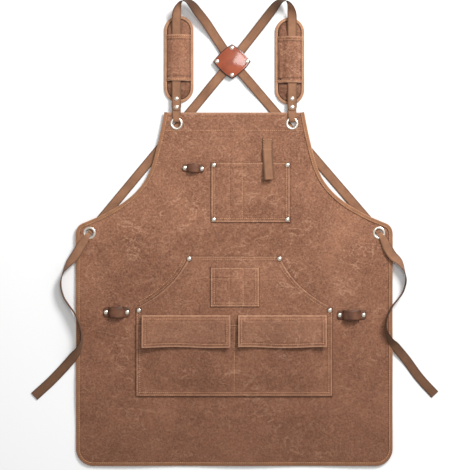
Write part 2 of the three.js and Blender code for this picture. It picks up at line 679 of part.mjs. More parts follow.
// A harness strap: from its rounded end over a pad, turned over at the shoulder, through the cross patch,
// behind the bib and up into the far side grommet
function harnessStrap(name, side, patchZ) {
  const x = side * BIB_GROMMET.x;
  const z = STRAP_Z + WEBBING / 2;
  const patch = new THREE.Vector2(PATCH.x, patchY);
  const far = new THREE.Vector2(-side * sideGrommet.x, sideGrommet.y);
  const run = far.clone().sub(patch).normalize();
  const hole = (BIB_TOP + BIB_Z) / 2;
  const from = (point, distance, height, width = STRAP) => {
    const at = point.clone().addScaledVector(run, distance);
    return [at.x, at.y, height, -side * 180, width];
  };
  const stations = STRAP_START.map(([above, width]) => [x, BODY_LENGTH + above, z, 0, width]);
  for (const [out, up, rise, roll] of TURNOVER)
    stations.push([x + side * out, BODY_LENGTH + up, z + rise, -side * roll, STRAP]);
  for (const distance of UNDER_PATCH) stations.push(from(patch, distance, patchZ));
  for (const distance of PAST_PATCH) stations.push(from(patch, distance, FLOOR_STRAP_Z));
  for (const [distance, drop, width] of INTO_GROMMET) stations.push(from(far, distance, hole - drop, width));
  const holes = STRAP_RIVETS.map((above) => drill(x, BODY_LENGTH + above, HOLE, 0, STRAP_Z + WEBBING + 1));
  add(name, geometryOf(cut(solid(strap(stations, WEBBING, 90)), holes)), webbing);
}

function tie(name, side, stations) {
  const hole = (BIB_TOP + BIB_Z) / 2;
  const first = [side * (sideGrommet.x + GAP), sideGrommet.y - 2 * GAP, hole, 0, STRAP_IN_GROMMET];
  add(name, strap([first, ...stations], WEBBING, 56), webbing);
  cordNames.push(name);
}

function stadium(centreX, centreY, half, length) {
  const shape = new THREE.Shape();
  const reach = length / 2 - half;
  shape.absarc(centreX, centreY + reach, half, 0, Math.PI, false);
  shape.absarc(centreX, centreY - reach, half, Math.PI, 2 * Math.PI, false);
  shape.closePath();
  return shape;
}

function shoulderPad(name, side, dropped) {
  const x = side * PAD.x;
  const y = BODY_LENGTH + PAD.aboveBib + PAD.length / 2 - dropped;
  const group = new THREE.Group();
  apron.add(group);
  const { half, length, height, endTaper } = PAD;
  const { seam, tape, width: tapeWidth } = PAD_EDGE;
  const ring = (by, z0, z1) => plate(stadium(x, y, half - by, length - 2 * by), z0, z1, 8);
  const slot = tape + seam + 2 * GAP;
  const edge = ring(0, 0, slot + tape)
    .subtract(ring(tapeWidth, -1, slot + tape + 1))
    .subtract(ring(tape, tape, slot));
  const foamEnd = length / 2 - endTaper;
  const body = ring(tape + GAP, tape + GAP, tape + GAP + seam).add(
    ring(tapeWidth + GAP, 0, height).intersect(box(x - half, x + half, y - foamEnd, y + foamEnd, 0, height)),
  );
  const strapX = side * BIB_GROMMET.x;
  const tunnel = STRAP / 2 + SLEEVE.play;
  const start = y - length / 2 + SLEEVE.start;
  const seat = height + GAP;
  const crown = STRAP_Z + WEBBING + GAP;
  const sleeve = box(x - SLEEVE.half, x + SLEEVE.half, start, start + SLEEVE.length, seat, seat + CANVAS)
    .add(box(strapX - tunnel - CANVAS, strapX + tunnel + CANVAS, start, start + SLEEVE.length, seat, crown + CANVAS))
    .subtract(box(strapX - tunnel, strapX + tunnel, start - 1, start + SLEEVE.length + 1, seat - 1, crown));
  add(name, geometryOf(body), canvas, group);
  add(name + "_binding", geometryOf(edge), binding, group);
  add(name + "_sleeve", geometryOf(sleeve), canvas, group);
}

function patchShape() {
  const corners = [[1, 0], [0, 1], [-1, 0], [0, -1]].map(
    ([a, b]) => new THREE.Vector2(PATCH.x + a * PATCH.halfX, patchY + b * PATCH.halfY),
  );
  const shape = new THREE.Shape();
  shape.moveTo(corners[0].x, corners[0].y);
  corners.forEach((from, i) => {
    const to = corners[(i + 1) % 4];
    const middle = from.clone().add(to).multiplyScalar(0.5);
    const out = middle.clone().sub(new THREE.Vector2(PATCH.x, patchY)).normalize();
    middle.addScaledVector(out, 2 * PATCH.bulge);
    shape.quadraticCurveTo(middle.x, middle.y, to.x, to.y);
  });
  return shape;
}

const patchBackZ = RIVET.backHeight + GAP;
const lowerStrapZ = patchBackZ + LEATHER + GAP + WEBBING / 2;
const upperStrapZ = lowerStrapZ + WEBBING + GAP;
const patchFrontZ = upperStrapZ + WEBBING / 2 + GAP;

function crossPatch() {
  const group = new THREE.Group();
  apron.add(group);
  const places = [[1, 0], [0, 1], [-1, 0], [0, -1]].map(([a, b]) => [
    PATCH.x + a * (PATCH.halfX - PATCH.rivetInset),
    patchY + b * (PATCH.halfY - PATCH.rivetInset),
  ]);
  const holes = places.map(([px, py]) => drill(px, py, HOLE, 0, patchFrontZ + LEATHER + 1));
  const leaf = (z) => geometryOf(cut(plate(patchShape(), z, z + LEATHER, 6), holes));
  add("cross_patch_back", leaf(patchBackZ), leather, group);
  add("cross_patch_front", leaf(patchFrontZ), patchLeather, group);
  places.forEach(([px, py], i) =>
    rivet("cross_patch_rivet_" + (i + 1), px, py, 0, patchFrontZ + LEATHER + GAP, group),
  );
}

function strapRivets() {
  for (const [word, side] of [["left", -1], ["right", 1]])
    STRAP_RIVETS.forEach((above, i) => {
      const under = i === 0 ? BEHIND_LOOP_Z + BIB_LOOP.kink : BACK_LEG_Z;
      const z0 = under - GAP - RIVET.backHeight;
      rivet(
        "strap_rivet_" + word + "_" + (i + 1), side * BIB_GROMMET.x, BODY_LENGTH + above, z0, STRAP_Z + WEBBING + GAP,
      );
    });
}

// Assembly
add("apron_panel", bodyPanel(), canvas);
bindings();
add("bib_facing", facing(), canvas);
for (const [word, side] of [["left", -1], ["right", 1]]) {
  grommet("bib_grommet_" + word, side * BIB_GROMMET.x, bibGrommetY, WASHER_Z);
  grommet("side_grommet_" + word, side * sideGrommet.x, sideGrommet.y, BIB_Z - GAP - GROMMET.washer);
  bibLoop("bib_loop_" + word, side);
  shoulderPad("shoulder_pad_" + word, side, PAD_DROP[word]);
}
skirtPockets();
flaps();
chestPocket();
chestTab();
TOOL_LOOPS.forEach(toolLoop);
strapRivets();
harnessStrap("harness_strap_left", -1, lowerStrapZ);
harnessStrap("harness_strap_right", 1, upperStrapZ);
crossPatch();
tie("tie_left", -1, TIE_LEFT);
tie("tie_right", 1, TIE_RIGHT);

// The frame's origin is the middle of the footprint, without the free ties
apron.updateMatrixWorld(true);
const footprint = new THREE.Box3();
apron.traverse((piece) => {
  if (piece.isMesh && !cordNames.includes(piece.name)) footprint.expandByObject(piece, true);
});
const middle = footprint.getCenter(new THREE.Vector3());
apron.position.set(-middle.x, -middle.y, -footprint.min.z);

export default apron;
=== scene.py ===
"""The finished look of a waxed canvas work apron, laid out flat on a bench with its harness spread above it."""

import math

import bpy
import numpy as np
from bpy.props import FloatProperty, FloatVectorProperty, IntProperty, PointerProperty
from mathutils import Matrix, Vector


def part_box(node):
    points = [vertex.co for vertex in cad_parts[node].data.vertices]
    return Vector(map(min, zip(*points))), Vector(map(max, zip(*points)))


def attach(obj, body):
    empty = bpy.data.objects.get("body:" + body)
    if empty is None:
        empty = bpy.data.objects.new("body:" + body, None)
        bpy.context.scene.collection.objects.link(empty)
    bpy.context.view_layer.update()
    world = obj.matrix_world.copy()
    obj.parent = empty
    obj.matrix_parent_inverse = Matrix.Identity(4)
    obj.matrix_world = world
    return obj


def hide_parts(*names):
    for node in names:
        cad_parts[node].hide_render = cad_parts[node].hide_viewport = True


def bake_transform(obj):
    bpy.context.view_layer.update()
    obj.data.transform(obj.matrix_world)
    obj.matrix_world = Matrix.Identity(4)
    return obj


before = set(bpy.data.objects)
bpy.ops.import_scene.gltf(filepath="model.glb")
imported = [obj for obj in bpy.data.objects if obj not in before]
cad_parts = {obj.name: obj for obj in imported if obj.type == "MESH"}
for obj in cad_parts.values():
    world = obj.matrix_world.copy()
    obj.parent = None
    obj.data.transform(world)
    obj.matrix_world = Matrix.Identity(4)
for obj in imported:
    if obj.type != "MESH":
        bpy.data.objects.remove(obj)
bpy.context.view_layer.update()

bl_info = {
    "name": "Canvas Work Apron",
    "version": (1, 0, 0),
    "blender": (4, 5, 0),
    "location": "View3D > Sidebar > Apron",
    "description": "Cloth, webbing, leather and metal of a work apron, built around its fixed frame",
    "category": "Add Mesh",
}

# Metres. X runs across the apron and Z up from the bench. Lengths along the apron, called y, are measured
# from the hem, and place() moves them into the frame.
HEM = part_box("skirt_binding")[0][1]

CANVAS = 0.0012
TAPE = 0.0010
WEBBING = 0.0018
LOOP_WEBBING = 0.0012
LEATHER = 0.0018
GAP = 0.0003

BODY_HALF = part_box("skirt_binding")[1][0]
BODY_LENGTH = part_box("bib_facing")[1][1] - HEM + TAPE
BIB_HALF = 0.150
SIDE_LENGTH = 0.521
UNDERARM_RADIUS = 0.024
HEM_RADIUS = 0.037
ARMHOLE = [(0.064, 0.234), (0.163, 0.502), (0.29, 0.669), (0.483, 0.803), (0.738, 0.916)]
BINDING_WIDTH = 0.0085
SKIRT_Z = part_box("apron_panel")[0][2]
BIB_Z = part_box("apron_panel")[1][2] - CANVAS

GROMMET_HOLE = 0.0085
GROMMET_BARREL = 0.0008
STRAP = 0.020
BIB_GROMMET_X = 0.124

PATCH_HALF = (0.040, 0.037)
PATCH_BULGE = 0.003
PAD_SEAM_Z = 0.0022
PAD_CROWN_Z = 0.0088
PAD_TAPE = 0.0008
PAD_TAPE_WIDTH = 0.006
PAD_TAPE_Z = (0.0003, 0.0042)
SLEEVE_HALF = 0.0255
SLEEVE_SEAM_Z = 0.0056
SLEEVE_TOP_Z = 0.0104
SLEEVE_ROW = 0.0075

SEAMS = {"chest": (-0.011, 0.017), "pen": (-0.011, 0.019)}  # x of the rows that divide a pocket
ROW_NEAR = 0.0022  # stitch rows, from the edge that they follow
ROW_FAR = 0.0082
TAPE_ROW = 0.0016  # the binding's row, from the tape's inner edge
LOWER_LIFT = 0.0040
POUCH_LIFT = 0.0040
POUCH_TOP_HALF = 0.098
POUCH_SIDE = 0.340
POUCH_ROW_END = 0.308

FLAP_ROOT = 0.0085  # sewn depth above the line where a flap turns
FLAP_ROOT_Z = 0.0108
FLAP_SAG = 0.0012

# Ties: x, y, z, roll in degrees, width; from the side grommet to the free end
TIES = {
    "tie_left": [
        (-0.3108, 0.4999, 0.0071, 0, 0.010),
        (-0.3147, 0.4942, 0.0109, 0, 0.011),
        (-0.321, 0.4845, 0.0109, 0, 0.016),
        (-0.330, 0.470, 0.0103, 0, 0.020),
        (-0.341, 0.452, 0.0106, 8, 0.020),
        (-0.354, 0.436, 0.0113, 40, 0.020),
        (-0.366, 0.417, 0.011, 78, 0.020),
        (-0.372, 0.392, 0.0104, 90, 0.020),
        (-0.366, 0.364, 0.0104, 90, 0.020),
        (-0.355, 0.346, 0.0112, 90, 0.020),
        (-0.341, 0.327, 0.0148, 90, 0.020),
        (-0.330, 0.300, 0.0148, 90, 0.020),
        (-0.326, 0.274, 0.0148, 98, 0.020),
        (-0.333, 0.253, 0.0134, 125, 0.020),
        (-0.347, 0.233, 0.0084, 165, 0.020),
        (-0.368, 0.209, 0.0022, 180, 0.020),
        (-0.394, 0.182, 0.0012, 180, 0.020),
        (-0.430, 0.149, 0.0012, 180, 0.020),
    ],
    "tie_right": [
        (0.3108, 0.4999, 0.0071, 0, 0.010),
        (0.3147, 0.4942, 0.0109, 0, 0.011),
        (0.321, 0.484, 0.0109, 0, 0.016),
        (0.328, 0.469, 0.0103, 0, 0.020),
        (0.339, 0.452, 0.0106, -8, 0.020),
        (0.354, 0.438, 0.0113, -40, 0.020),
        (0.364, 0.420, 0.011, -78, 0.020),
        (0.368, 0.399, 0.0104, -90, 0.020),
        (0.361, 0.373, 0.0104, -90, 0.020),
        (0.351, 0.359, 0.0112, -90, 0.020),
        (0.338, 0.343, 0.0148, -90, 0.020),
        (0.328, 0.322, 0.0148, -90, 0.020),
        (0.324, 0.297, 0.0148, -98, 0.020),
        (0.333, 0.273, 0.0134, -125, 0.020),
        (0.347, 0.255, 0.0084, -165, 0.020),
        (0.370, 0.227, 0.0022, -180, 0.020),
        (0.398, 0.189, 0.0012, -180, 0.020),
        (0.431, 0.153, 0.0012, -180, 0.020),
    ],
}

# Harness: y above the bib and width at the strap's rounded end. Its turnover at the shoulder: outward offset,
# y above the bib, z above the strap, roll. Then stops along a line through the patch to the far grommet, by
# distance, and for the last ones how far below the grommet's middle they lie, and the strap's width.
STRAP_START = [(0.003, 0.010), (0.006, 0.0165), (0.011, STRAP), (0.063, STRAP), (0.133, STRAP)]
TURNOVER = [
    (0, 0.190, 0, 0),
    (0, 0.200, 0.001, 6),
    (-0.0008, 0.212, 0.0038, 22),
    (-0.0045, 0.226, 0.0086, 58),
    (-0.011, 0.235, 0.011, 90),
    (-0.021, 0.237, 0.0114, 122),
    (-0.033, 0.229, 0.0096, 150),
    (-0.046, 0.213, 0.0058, 172),
    (-0.064, 0.190, 0.001, 180),
]
UNDER_PATCH = (-0.066, -0.046, 0, 0.046, 0.066)
PAST_PATCH = (0.105, 0.200, 0.300)
INTO_GROMMET = [
    (-0.070, 0.0059, STRAP),
    (-0.034, 0.0059, STRAP),
    (-0.0165, 0.0054, 0.014),
    (-0.0075, 0.0038, 0.010),
    (-0.0006, 0, 0.010),
]
FLOOR_STRAP_Z = GAP + WEBBING / 2
STRAP_OVER_PAD_Z = 0.0105

# The loop that ties a strap to a bib grommet: y from the grommet's middle, z, width
BIB_LOOP = [
    (0.062, 0.0087, 0.018), (0.045, 0.0087, 0.018), (0.030, 0.0087, 0.018), (0.019, 0.0101, 0.018),
    (0.012, 0.0103, 0.015), (0.0069, 0.0100, 0.012), (0.004, 0.0083, 0.012), (0.0035, 0.00655, 0.012),
    (0.004, 0.0047, 0.012), (0.0069, 0.00305, 0.012), (0.0125, 0.0030, 0.015), (0.023, 0.0030, 0.018),
    (0.032, 0.0049, 0.018), (0.040, 0.0056, 0.018), (0.049, 0.0072, 0.018), (0.062, 0.0072, 0.018),
]

# Leather tool loops: foot length and turn in degrees
TOOL_LOOPS = {"screwdriver_loop": (0.0095, -3), "pliers_loop": (0.0105, 0), "hammer_loop": (0.011, 0)}
TURNED_LOOP = (0.046, 0.018)  # length and width of the loop that is turned

FLANGE_HEIGHT = 0.0012
FLANGE_ROLL = 0.0013
RIVET_SIZES = {
    "Cap radius": 0.0047,
    "Cap height": 0.0018,
    "Back radius": 0.004,
    "Back height": 0.001,
    "Shank radius": 0.0015,
}

stitch_rows = {}  # body: rows of points that thread follows


# ---------------------------------------------------------------- settings

def colour_property(name, description, value):
    return FloatVectorProperty(name=name, description=description, default=value, subtype="COLOR", min=0, max=1)


class ApronSizes(bpy.types.PropertyGroup):
    """Sizes that change how the apron lies and how it is sewn"""

    wave: FloatProperty(
        name="Wave", description="How high the skirt's edges lift off the bench", default=0.0030, unit="LENGTH"
    )
    stitch_length: FloatProperty(
        name="Stitch", description="Length of one stitch of thread", default=0.0030, unit="LENGTH"
    )
    stitch_pitch: FloatProperty(
        name="Stitch pitch", description="From one stitch to the next", default=0.0042, unit="LENGTH"
    )
    thread: FloatProperty(name="Thread", description="Thickness of the thread", default=0.0011, unit="LENGTH")
    pad_pressure: FloatProperty(
        name="Pad filling", description="Pressure inside the shoulder pads", default=4.0
    )
    rivet_sides: IntProperty(name="Rivet sides", description="Sides round a rivet", default=28)


class ApronColours(bpy.types.PropertyGroup):
    """Colours of the cloth, leather and thread"""

    canvas: colour_property("Canvas", "Waxed canvas", (0.445, 0.206, 0.118))
    # Also the colour of painted shade: towards the hem, in grooves, along sewn edges and round rivets.
    canvas_dark_and_shade: colour_property("Canvas, dark", "Canvas where the wax is thick", (0.135, 0.050, 0.026))
    canvas_worn: colour_property("Canvas, worn", "Canvas along folds and creases", (0.600, 0.335, 0.210))
    tape: colour_property("Tape", "Binding tape", (0.385, 0.175, 0.085))
    webbing: colour_property("Webbing", "Straps, ties and tab", (0.335, 0.165, 0.092))
    thread: colour_property("Thread", "Sewing thread", (0.720, 0.400, 0.215))
    leather: colour_property("Leather", "Tool loops", (0.118, 0.048, 0.026))
    patch: colour_property("Patch", "Glazed leather of the cross patch", (0.335, 0.062, 0.018))


# ---------------------------------------------------------------- numbers and curves

def ease(value, start, end):
    """0 before start and 1 after end, with a soft rise between them; start may be the larger."""
    share = np.clip((value - start) / (end - start), 0, 1)
    return share * share * (3 - 2 * share)


def bump(value, centre, width):
    """1 at the centre, falling smoothly to 0 on both sides."""
    return np.exp(-(((value - centre) / width) ** 2))


def place(points):
    """Points with y from the hem, moved into the frame."""
    return np.asarray(points, float) + (0, HEM, 0)


def between_points(start, end, leaving, arriving, t):
    """A point at share t of the way along a cubic, from its ends and the directions there."""
    return (
        (2 * start - 2 * end + leaving + arriving) * t**3
        + (-3 * start + 3 * end - 2 * leaving - arriving) * t**2
        + leaving * t
        + start
    )


def rounded_spline(points, steps):
    """A uniform Catmull-Rom curve through points in the plane."""
    points = np.asarray(points, float)
    last = len(points) - 1
    result = []
    for step in range(steps + 1):
        at = step / steps * last
        i = min(int(at), last - 1)
        p0, p1, p2, p3 = (points[min(max(k, 0), last)] for k in (i - 1, i, i + 1, i + 2))
        result.append(between_points(p1, p2, (p2 - p0) / 2, (p3 - p1) / 2, at - i))
    return np.array(result)


def flowing_curve(points, steps):
    """A centripetal Catmull-Rom curve, whose steps are spread evenly over the points' order."""
    points = np.asarray(points, float)
    ends = np.vstack([2 * points[0] - points[1], points, 2 * points[-1] - points[-2]])
    last = len(points) - 1
    result = []
    for step in range(steps + 1):
        at = step / steps * last
        i = min(int(at), last - 1)
        p0, p1, p2, p3 = ends[i : i + 4]
        d0, d1, d2 = (math.sqrt(np.linalg.norm(b - a)) for a, b in ((p0, p1), (p1, p2), (p2, p3)))
        d1 = d1 if d1 > 1e-4 else 1.0
        d0 = d0 if d0 > 1e-4 else d1
        d2 = d2 if d2 > 1e-4 else d1
        v0 = ((p1 - p0) / d0 - (p2 - p0) / (d0 + d1) + (p2 - p1) / d1) * d1
        v1 = ((p2 - p1) / d1 - (p3 - p1) / (d1 + d2) + (p3 - p2) / d2) * d1
        result.append(between_points(p1, p2, v0, v1, at - i))
    return np.array(result)


def quadratic(a, b, c, steps):
    """A curve from a to c that leaves and arrives in line with b."""
    t = np.linspace(0, 1, steps + 1)[:, None]
    return (1 - t) ** 2 * np.array(a) + 2 * t * (1 - t) * np.array(b) + t**2 * np.array(c)


def cubic(a, b, c, d, steps):
    """A curve from a to d that leaves towards b and arrives from c."""
    t = np.linspace(0, 1, steps + 1)[:, None]
    a, b, c, d = (np.array(p, float) for p in (a, b, c, d))
    return (1 - t) ** 3 * a + 3 * t * (1 - t) ** 2 * b + 3 * t**2 * (1 - t) * c + t**3 * d


def arc(centre, radius, start, end, steps):
    """Points on a circle from one angle to another, in degrees."""
    angles = np.radians(np.linspace(start, end, steps + 1))
    return np.stack([centre[0] + radius * np.cos(angles), centre[1] + radius * np.sin(angles)], axis=1)


def unit(vectors):
    """The same directions, each of length 1."""
    return vectors / np.linalg.norm(vectors, axis=1)[:, None]


def to_right(along):
    """Directions in the plane, turned to the right."""
    return np.stack([along[:, 1], -along[:, 0]], axis=1)


def inset(points, distance):
    """A line in the plane moved to its right by a distance, point for point."""
    points = np.asarray(points, float)
    return points + distance * to_right(unit(np.gradient(points, axis=0)))


def even_steps(points, step):
    """The same line with points a step apart."""
    points = np.asarray(points, float)
    run = np.concatenate([[0], np.cumsum(np.linalg.norm(np.diff(points, axis=0), axis=1))])
    count = max(int(round(run[-1] / step)), 2)
    at = np.linspace(0, run[-1], count + 1)
    return np.stack([np.interp(at, run, points[:, k]) for k in range(points.shape[1])], axis=1)


# ---------------------------------------------------------------- the apron's outline and how it lies

def half_outline():
    """Right half of the body's edge, from the bib's corner down to the hem's corner."""
    run = BODY_HALF - UNDERARM_RADIUS * 0.6 - BIB_HALF
    drop = BODY_LENGTH - SIDE_LENGTH
    stops = [(0, 0), *ARMHOLE, (1, 1)]
    armhole = [(BIB_HALF + across * run, BODY_LENGTH - down * drop) for across, down in stops]
    arm = rounded_spline(armhole, 90)
    corner = quadratic(
        arm[-1],
        (BODY_HALF, SIDE_LENGTH - UNDERARM_RADIUS * 0.25),
        (BODY_HALF, SIDE_LENGTH - UNDERARM_RADIUS),
        12,
    )
    hem = arc((BODY_HALF - HEM_RADIUS, HEM_RADIUS), HEM_RADIUS, 0, -90, 20)
    return arm, np.vstack([arm[-1:], corner[1:], hem])


ARM_EDGE, SKIRT_EDGE = half_outline()
HALF_EDGE = np.vstack([ARM_EDGE, SKIRT_EDGE[1:]])[::-1]


def half_width(y):
    """From the middle of the body to its edge."""
    return np.interp(y, HALF_EDGE[:, 1], HALF_EDGE[:, 0])


def middle_of(node):
    """The middle of a node as x, and y from the hem."""
    return np.mean(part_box(node), axis=0)[:2] - (0, HEM)


RIVET_PLACES = np.array([middle_of(name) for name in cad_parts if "_rivet_" in name])


def free(x, y, reach=0.022):
    """0 at a rivet and 1 away from all of them."""
    away = np.ones_like(x)
    for place_x, place_y in RIVET_PLACES:
        away = away * (1 - np.exp(-((x - place_x) ** 2 + (y - place_y) ** 2) / reach**2))
    return away


def wave(x, y):
    """How far the cloth lifts off the bench: soft waves along the hem, the sides and the armholes."""
    height = bpy.context.scene.apron_sizes.wave
    side = ease(np.abs(x), 0.235, 0.338) * ease(y, 0.455, 0.40)
    hem = ease(y, 0.135, 0.010)
    sides = side * (0.5 + 0.5 * np.sin(31 * y + np.where(x > 0, 0.4, 2.7)))
    hems = hem * (0.5 + 0.5 * np.sin(24 * x + 1.1 + 5 * y)) * 0.9
    near_arm = ease(half_width(y) - np.abs(x), 0.060, 0.0) * ease(y, 0.535, 0.60) * ease(y, 0.735, 0.68)
    arms = near_arm * (0.5 + 0.5 * np.sin(46 * y + np.where(x > 0, 0.0, 1.9))) * 0.45
    return height * np.maximum(np.maximum(sides, hems), arms) * free(x, y)


RIPPLES = np.random.default_rng(7).uniform(-1, 1, (14, 4))


def ripple(x, y, size=0.00022):
    """Small unevenness of worked canvas."""
    total = np.zeros_like(x)
    for a, b, c, d in RIPPLES:
        total = total + np.sin(x * 130 * a + y * 130 * b + 9 * c) * (0.6 + 0.4 * d)
    return size * total / 3


def panel_under(x, y):
    """The panel lies on the bench and climbs onto the straps behind the bib."""
    start = 0.453 - 0.065 * ease(np.abs(x), 0.11, 0.22)
    end = 0.488 + 0.028 * ease(np.abs(x), 0.27, 0.20)
    return SKIRT_Z + (BIB_Z - SKIRT_Z) * ease(y, start, end) + wave(x, y)


def panel_top(x, y):
    return panel_under(x, y) + CANVAS + ripple(x, y) * free(x, y)


# ---------------------------------------------------------------- meshes

def linked(name, mesh):
    """An object of that mesh, in the scene."""
    piece = bpy.data.objects.new(name, mesh)
    bpy.context.scene.collection.objects.link(piece)
    return piece


def make_piece(name, points, faces, material, uv=None, worn=None, sharp=40):
    """A mesh object from points already in the frame; uv and the marks of wear and painted shading have one
    entry for each point.
    """
    mesh = bpy.data.meshes.new(name)
    mesh.from_pydata(np.asarray(points, float).tolist(), [], [list(map(int, f)) for f in faces])
    mesh.validate()
    if uv is not None:
        layer = mesh.uv_layers.new(name="run")
        corner_point = np.empty(len(mesh.loops), dtype=np.int32)
        mesh.loops.foreach_get("vertex_index", corner_point)
        layer.data.foreach_set("uv", np.asarray(uv, np.float32)[corner_point].ravel())
    if worn is not None:
        attribute = mesh.attributes.new("worn", "FLOAT", "POINT")
        attribute.data.foreach_set("value", np.asarray(worn, np.float32).ravel())
    mesh.shade_smooth()
    mesh.set_sharp_from_angle(angle=math.radians(sharp))
    mesh.materials.append(finish(material))
    return linked(name, mesh)


def grid_faces(rows, columns, first=0):
    """Four-sided faces between neighbouring points of a grid, row by row."""
    index = np.arange(rows * columns).reshape(rows, columns) + first
    a, b, c, d = index[:-1, :-1], index[:-1, 1:], index[1:, 1:], index[1:, :-1]
    return np.stack([a, b, c, d], axis=-1).reshape(-1, 4)


def cloth(name, x, y, top, thickness=CANVAS, worn=None, under=None):
    """A closed sheet over a grid of x, y and top heights, rows towards the bib."""
    rows, columns = x.shape
    bottom = top - thickness if under is None else under
    upper = np.stack([x, y, top], axis=-1).reshape(-1, 3)
    lower = np.stack([x, y, bottom], axis=-1).reshape(-1, 3)
    count = rows * columns
    faces = [*grid_faces(rows, columns), *grid_faces(rows, columns, count)[:, ::-1]]
    index = np.arange(count).reshape(rows, columns)
    rim = np.concatenate([index[0, :-1], index[:-1, -1], index[-1, :0:-1], index[:0:-1, 0]])
    following = np.roll(rim, -1)
    faces += [*np.stack([following, rim, rim + count, following + count], axis=1)]
    wear_and_shade = None if worn is None else np.concatenate([worn.ravel(), worn.ravel() * 0.5])
    return make_piece(name, place(np.vstack([upper, lower])), faces, "canvas", worn=wear_and_shade)


def sweep(name, sections, material, closed=False, uv=None, worn=None, sharp=50):
    """A closed skin over sections of points, each turning the same way round the path."""
    count, around, _ = sections.shape
    index = np.arange(count * around).reshape(count, around)
    onwards = np.roll(index, -1, axis=0) if closed else index[1:]
    here = index if closed else index[:-1]
    a, b = here, np.roll(here, -1, axis=1)
    c, d = np.roll(onwards, -1, axis=1), onwards
    faces = [*np.stack([a, b, c, d], axis=-1).reshape(-1, 4)]
    if not closed:
        faces += [index[0][::-1], index[-1]]
    return make_piece(name, place(sections.reshape(-1, 3)), faces, material, uv=uv, worn=worn, sharp=sharp)


def face_outwards(piece):
    """Turns a closed mesh the right way out."""
    mesh = piece.data
    points = np.array([v.co for v in mesh.vertices])
    volume = 0.0
    mesh.calc_loop_triangles()
    for triangle in mesh.loop_triangles:
        a, b, c = points[list(triangle.vertices)]
        volume += np.dot(a, np.cross(b, c))
    if volume < 0:
        mesh.flip_normals()
    return piece


def lathe(name, profile, sides, centre, material):
    """A ring or a dome turned about an upright axis through centre, a point in the frame."""
    angles = np.linspace(0, 2 * math.pi, sides, endpoint=False)
    profile = np.asarray(profile, float)
    rings = np.stack(
        [
            np.outer(np.cos(angles), profile[:, 0]),
            np.outer(np.sin(angles), profile[:, 0]),
            np.outer(np.ones(sides), profile[:, 1]),
        ],
        axis=-1,
    )
    rings = rings + np.asarray(centre) - (0, HEM, 0)
    return face_outwards(sweep(name, rings, material, closed=True, sharp=35))


def settle(piece, body, slot, *nodes):
    """A finished piece moves with its body and stands for its nodes; slot is not used."""
    if nodes:
        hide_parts(*nodes)
    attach(piece, body)


def punched(piece, holes, radius):
    """The piece with round holes cut through it, at places in the frame."""
    sides, foot, head = 36, -0.01, 0.03
    tool_points, tool_faces = [], []
    for x, y in holes:
        low = len(tool_points)
        high = low + sides
        ring = arc((x, y), radius, 0, 350, sides - 1)
        tool_points += [(*p, foot) for p in ring] + [(*p, head) for p in ring]
        tool_faces.append([low + i for i in range(sides - 1, -1, -1)])
        tool_faces.append([high + i for i in range(sides)])
        tool_faces += [
            [low + i, low + (i + 1) % sides, high + (i + 1) % sides, high + i] for i in range(sides)
        ]
    punch = make_piece("punch", tool_points, tool_faces, "canvas")
    cutter = piece.modifiers.new("punch", "BOOLEAN")
    cutter.operation = "DIFFERENCE"
    cutter.solver = "EXACT"
    cutter.object = punch
    return baked(piece, leftovers=[punch])


def baked(piece, leftovers=()):
    """Turns what the piece's modifiers show into its plain mesh."""
    bpy.context.view_layer.update()
    shown = piece.evaluated_get(bpy.context.evaluated_depsgraph_get())
    mesh = bpy.data.meshes.new_from_object(shown)
    piece.modifiers.clear()
    piece.data = mesh
    mesh.name = piece.name
    for other in leftovers:
        bpy.data.objects.remove(other)
    return piece


# ---------------------------------------------------------------- finishes

class Socket:
    """A number, colour or vector in a material, with arithmetic for numbers."""

    def __init__(self, maker, socket):
        self.maker = maker
        self.socket = socket

    def math(self, operation, *others):
        return self.maker.node("ShaderNodeMath", {"operation": operation}, dict(enumerate((self, *others))))

    def __add__(self, other):
        return self.math("ADD", other)

    def __sub__(self, other):
        return self.math("SUBTRACT", other)

    def __mul__(self, other):
        return self.math("MULTIPLY", other)

    def __rsub__(self, other):
        return self.maker.node("ShaderNodeMath", {"operation": "SUBTRACT"}, {0: other, 1: self})

    __radd__ = __add__
    __rmul__ = __mul__

    def absolute(self):
        return self.math("ABSOLUTE")

    def wave(self):
        return self.math("SINE")

    def clipped(self):
        return self.maker.node("ShaderNodeClamp", {}, {"Value": self})

    def between(self, low, high):
        """0 at low and 1 at high, with a soft rise."""
        return self.maker.node(
            "ShaderNodeMapRange",
            {"interpolation_type": "SMOOTHSTEP"},
            {"Value": self, "From Min": low, "From Max": high},
        )


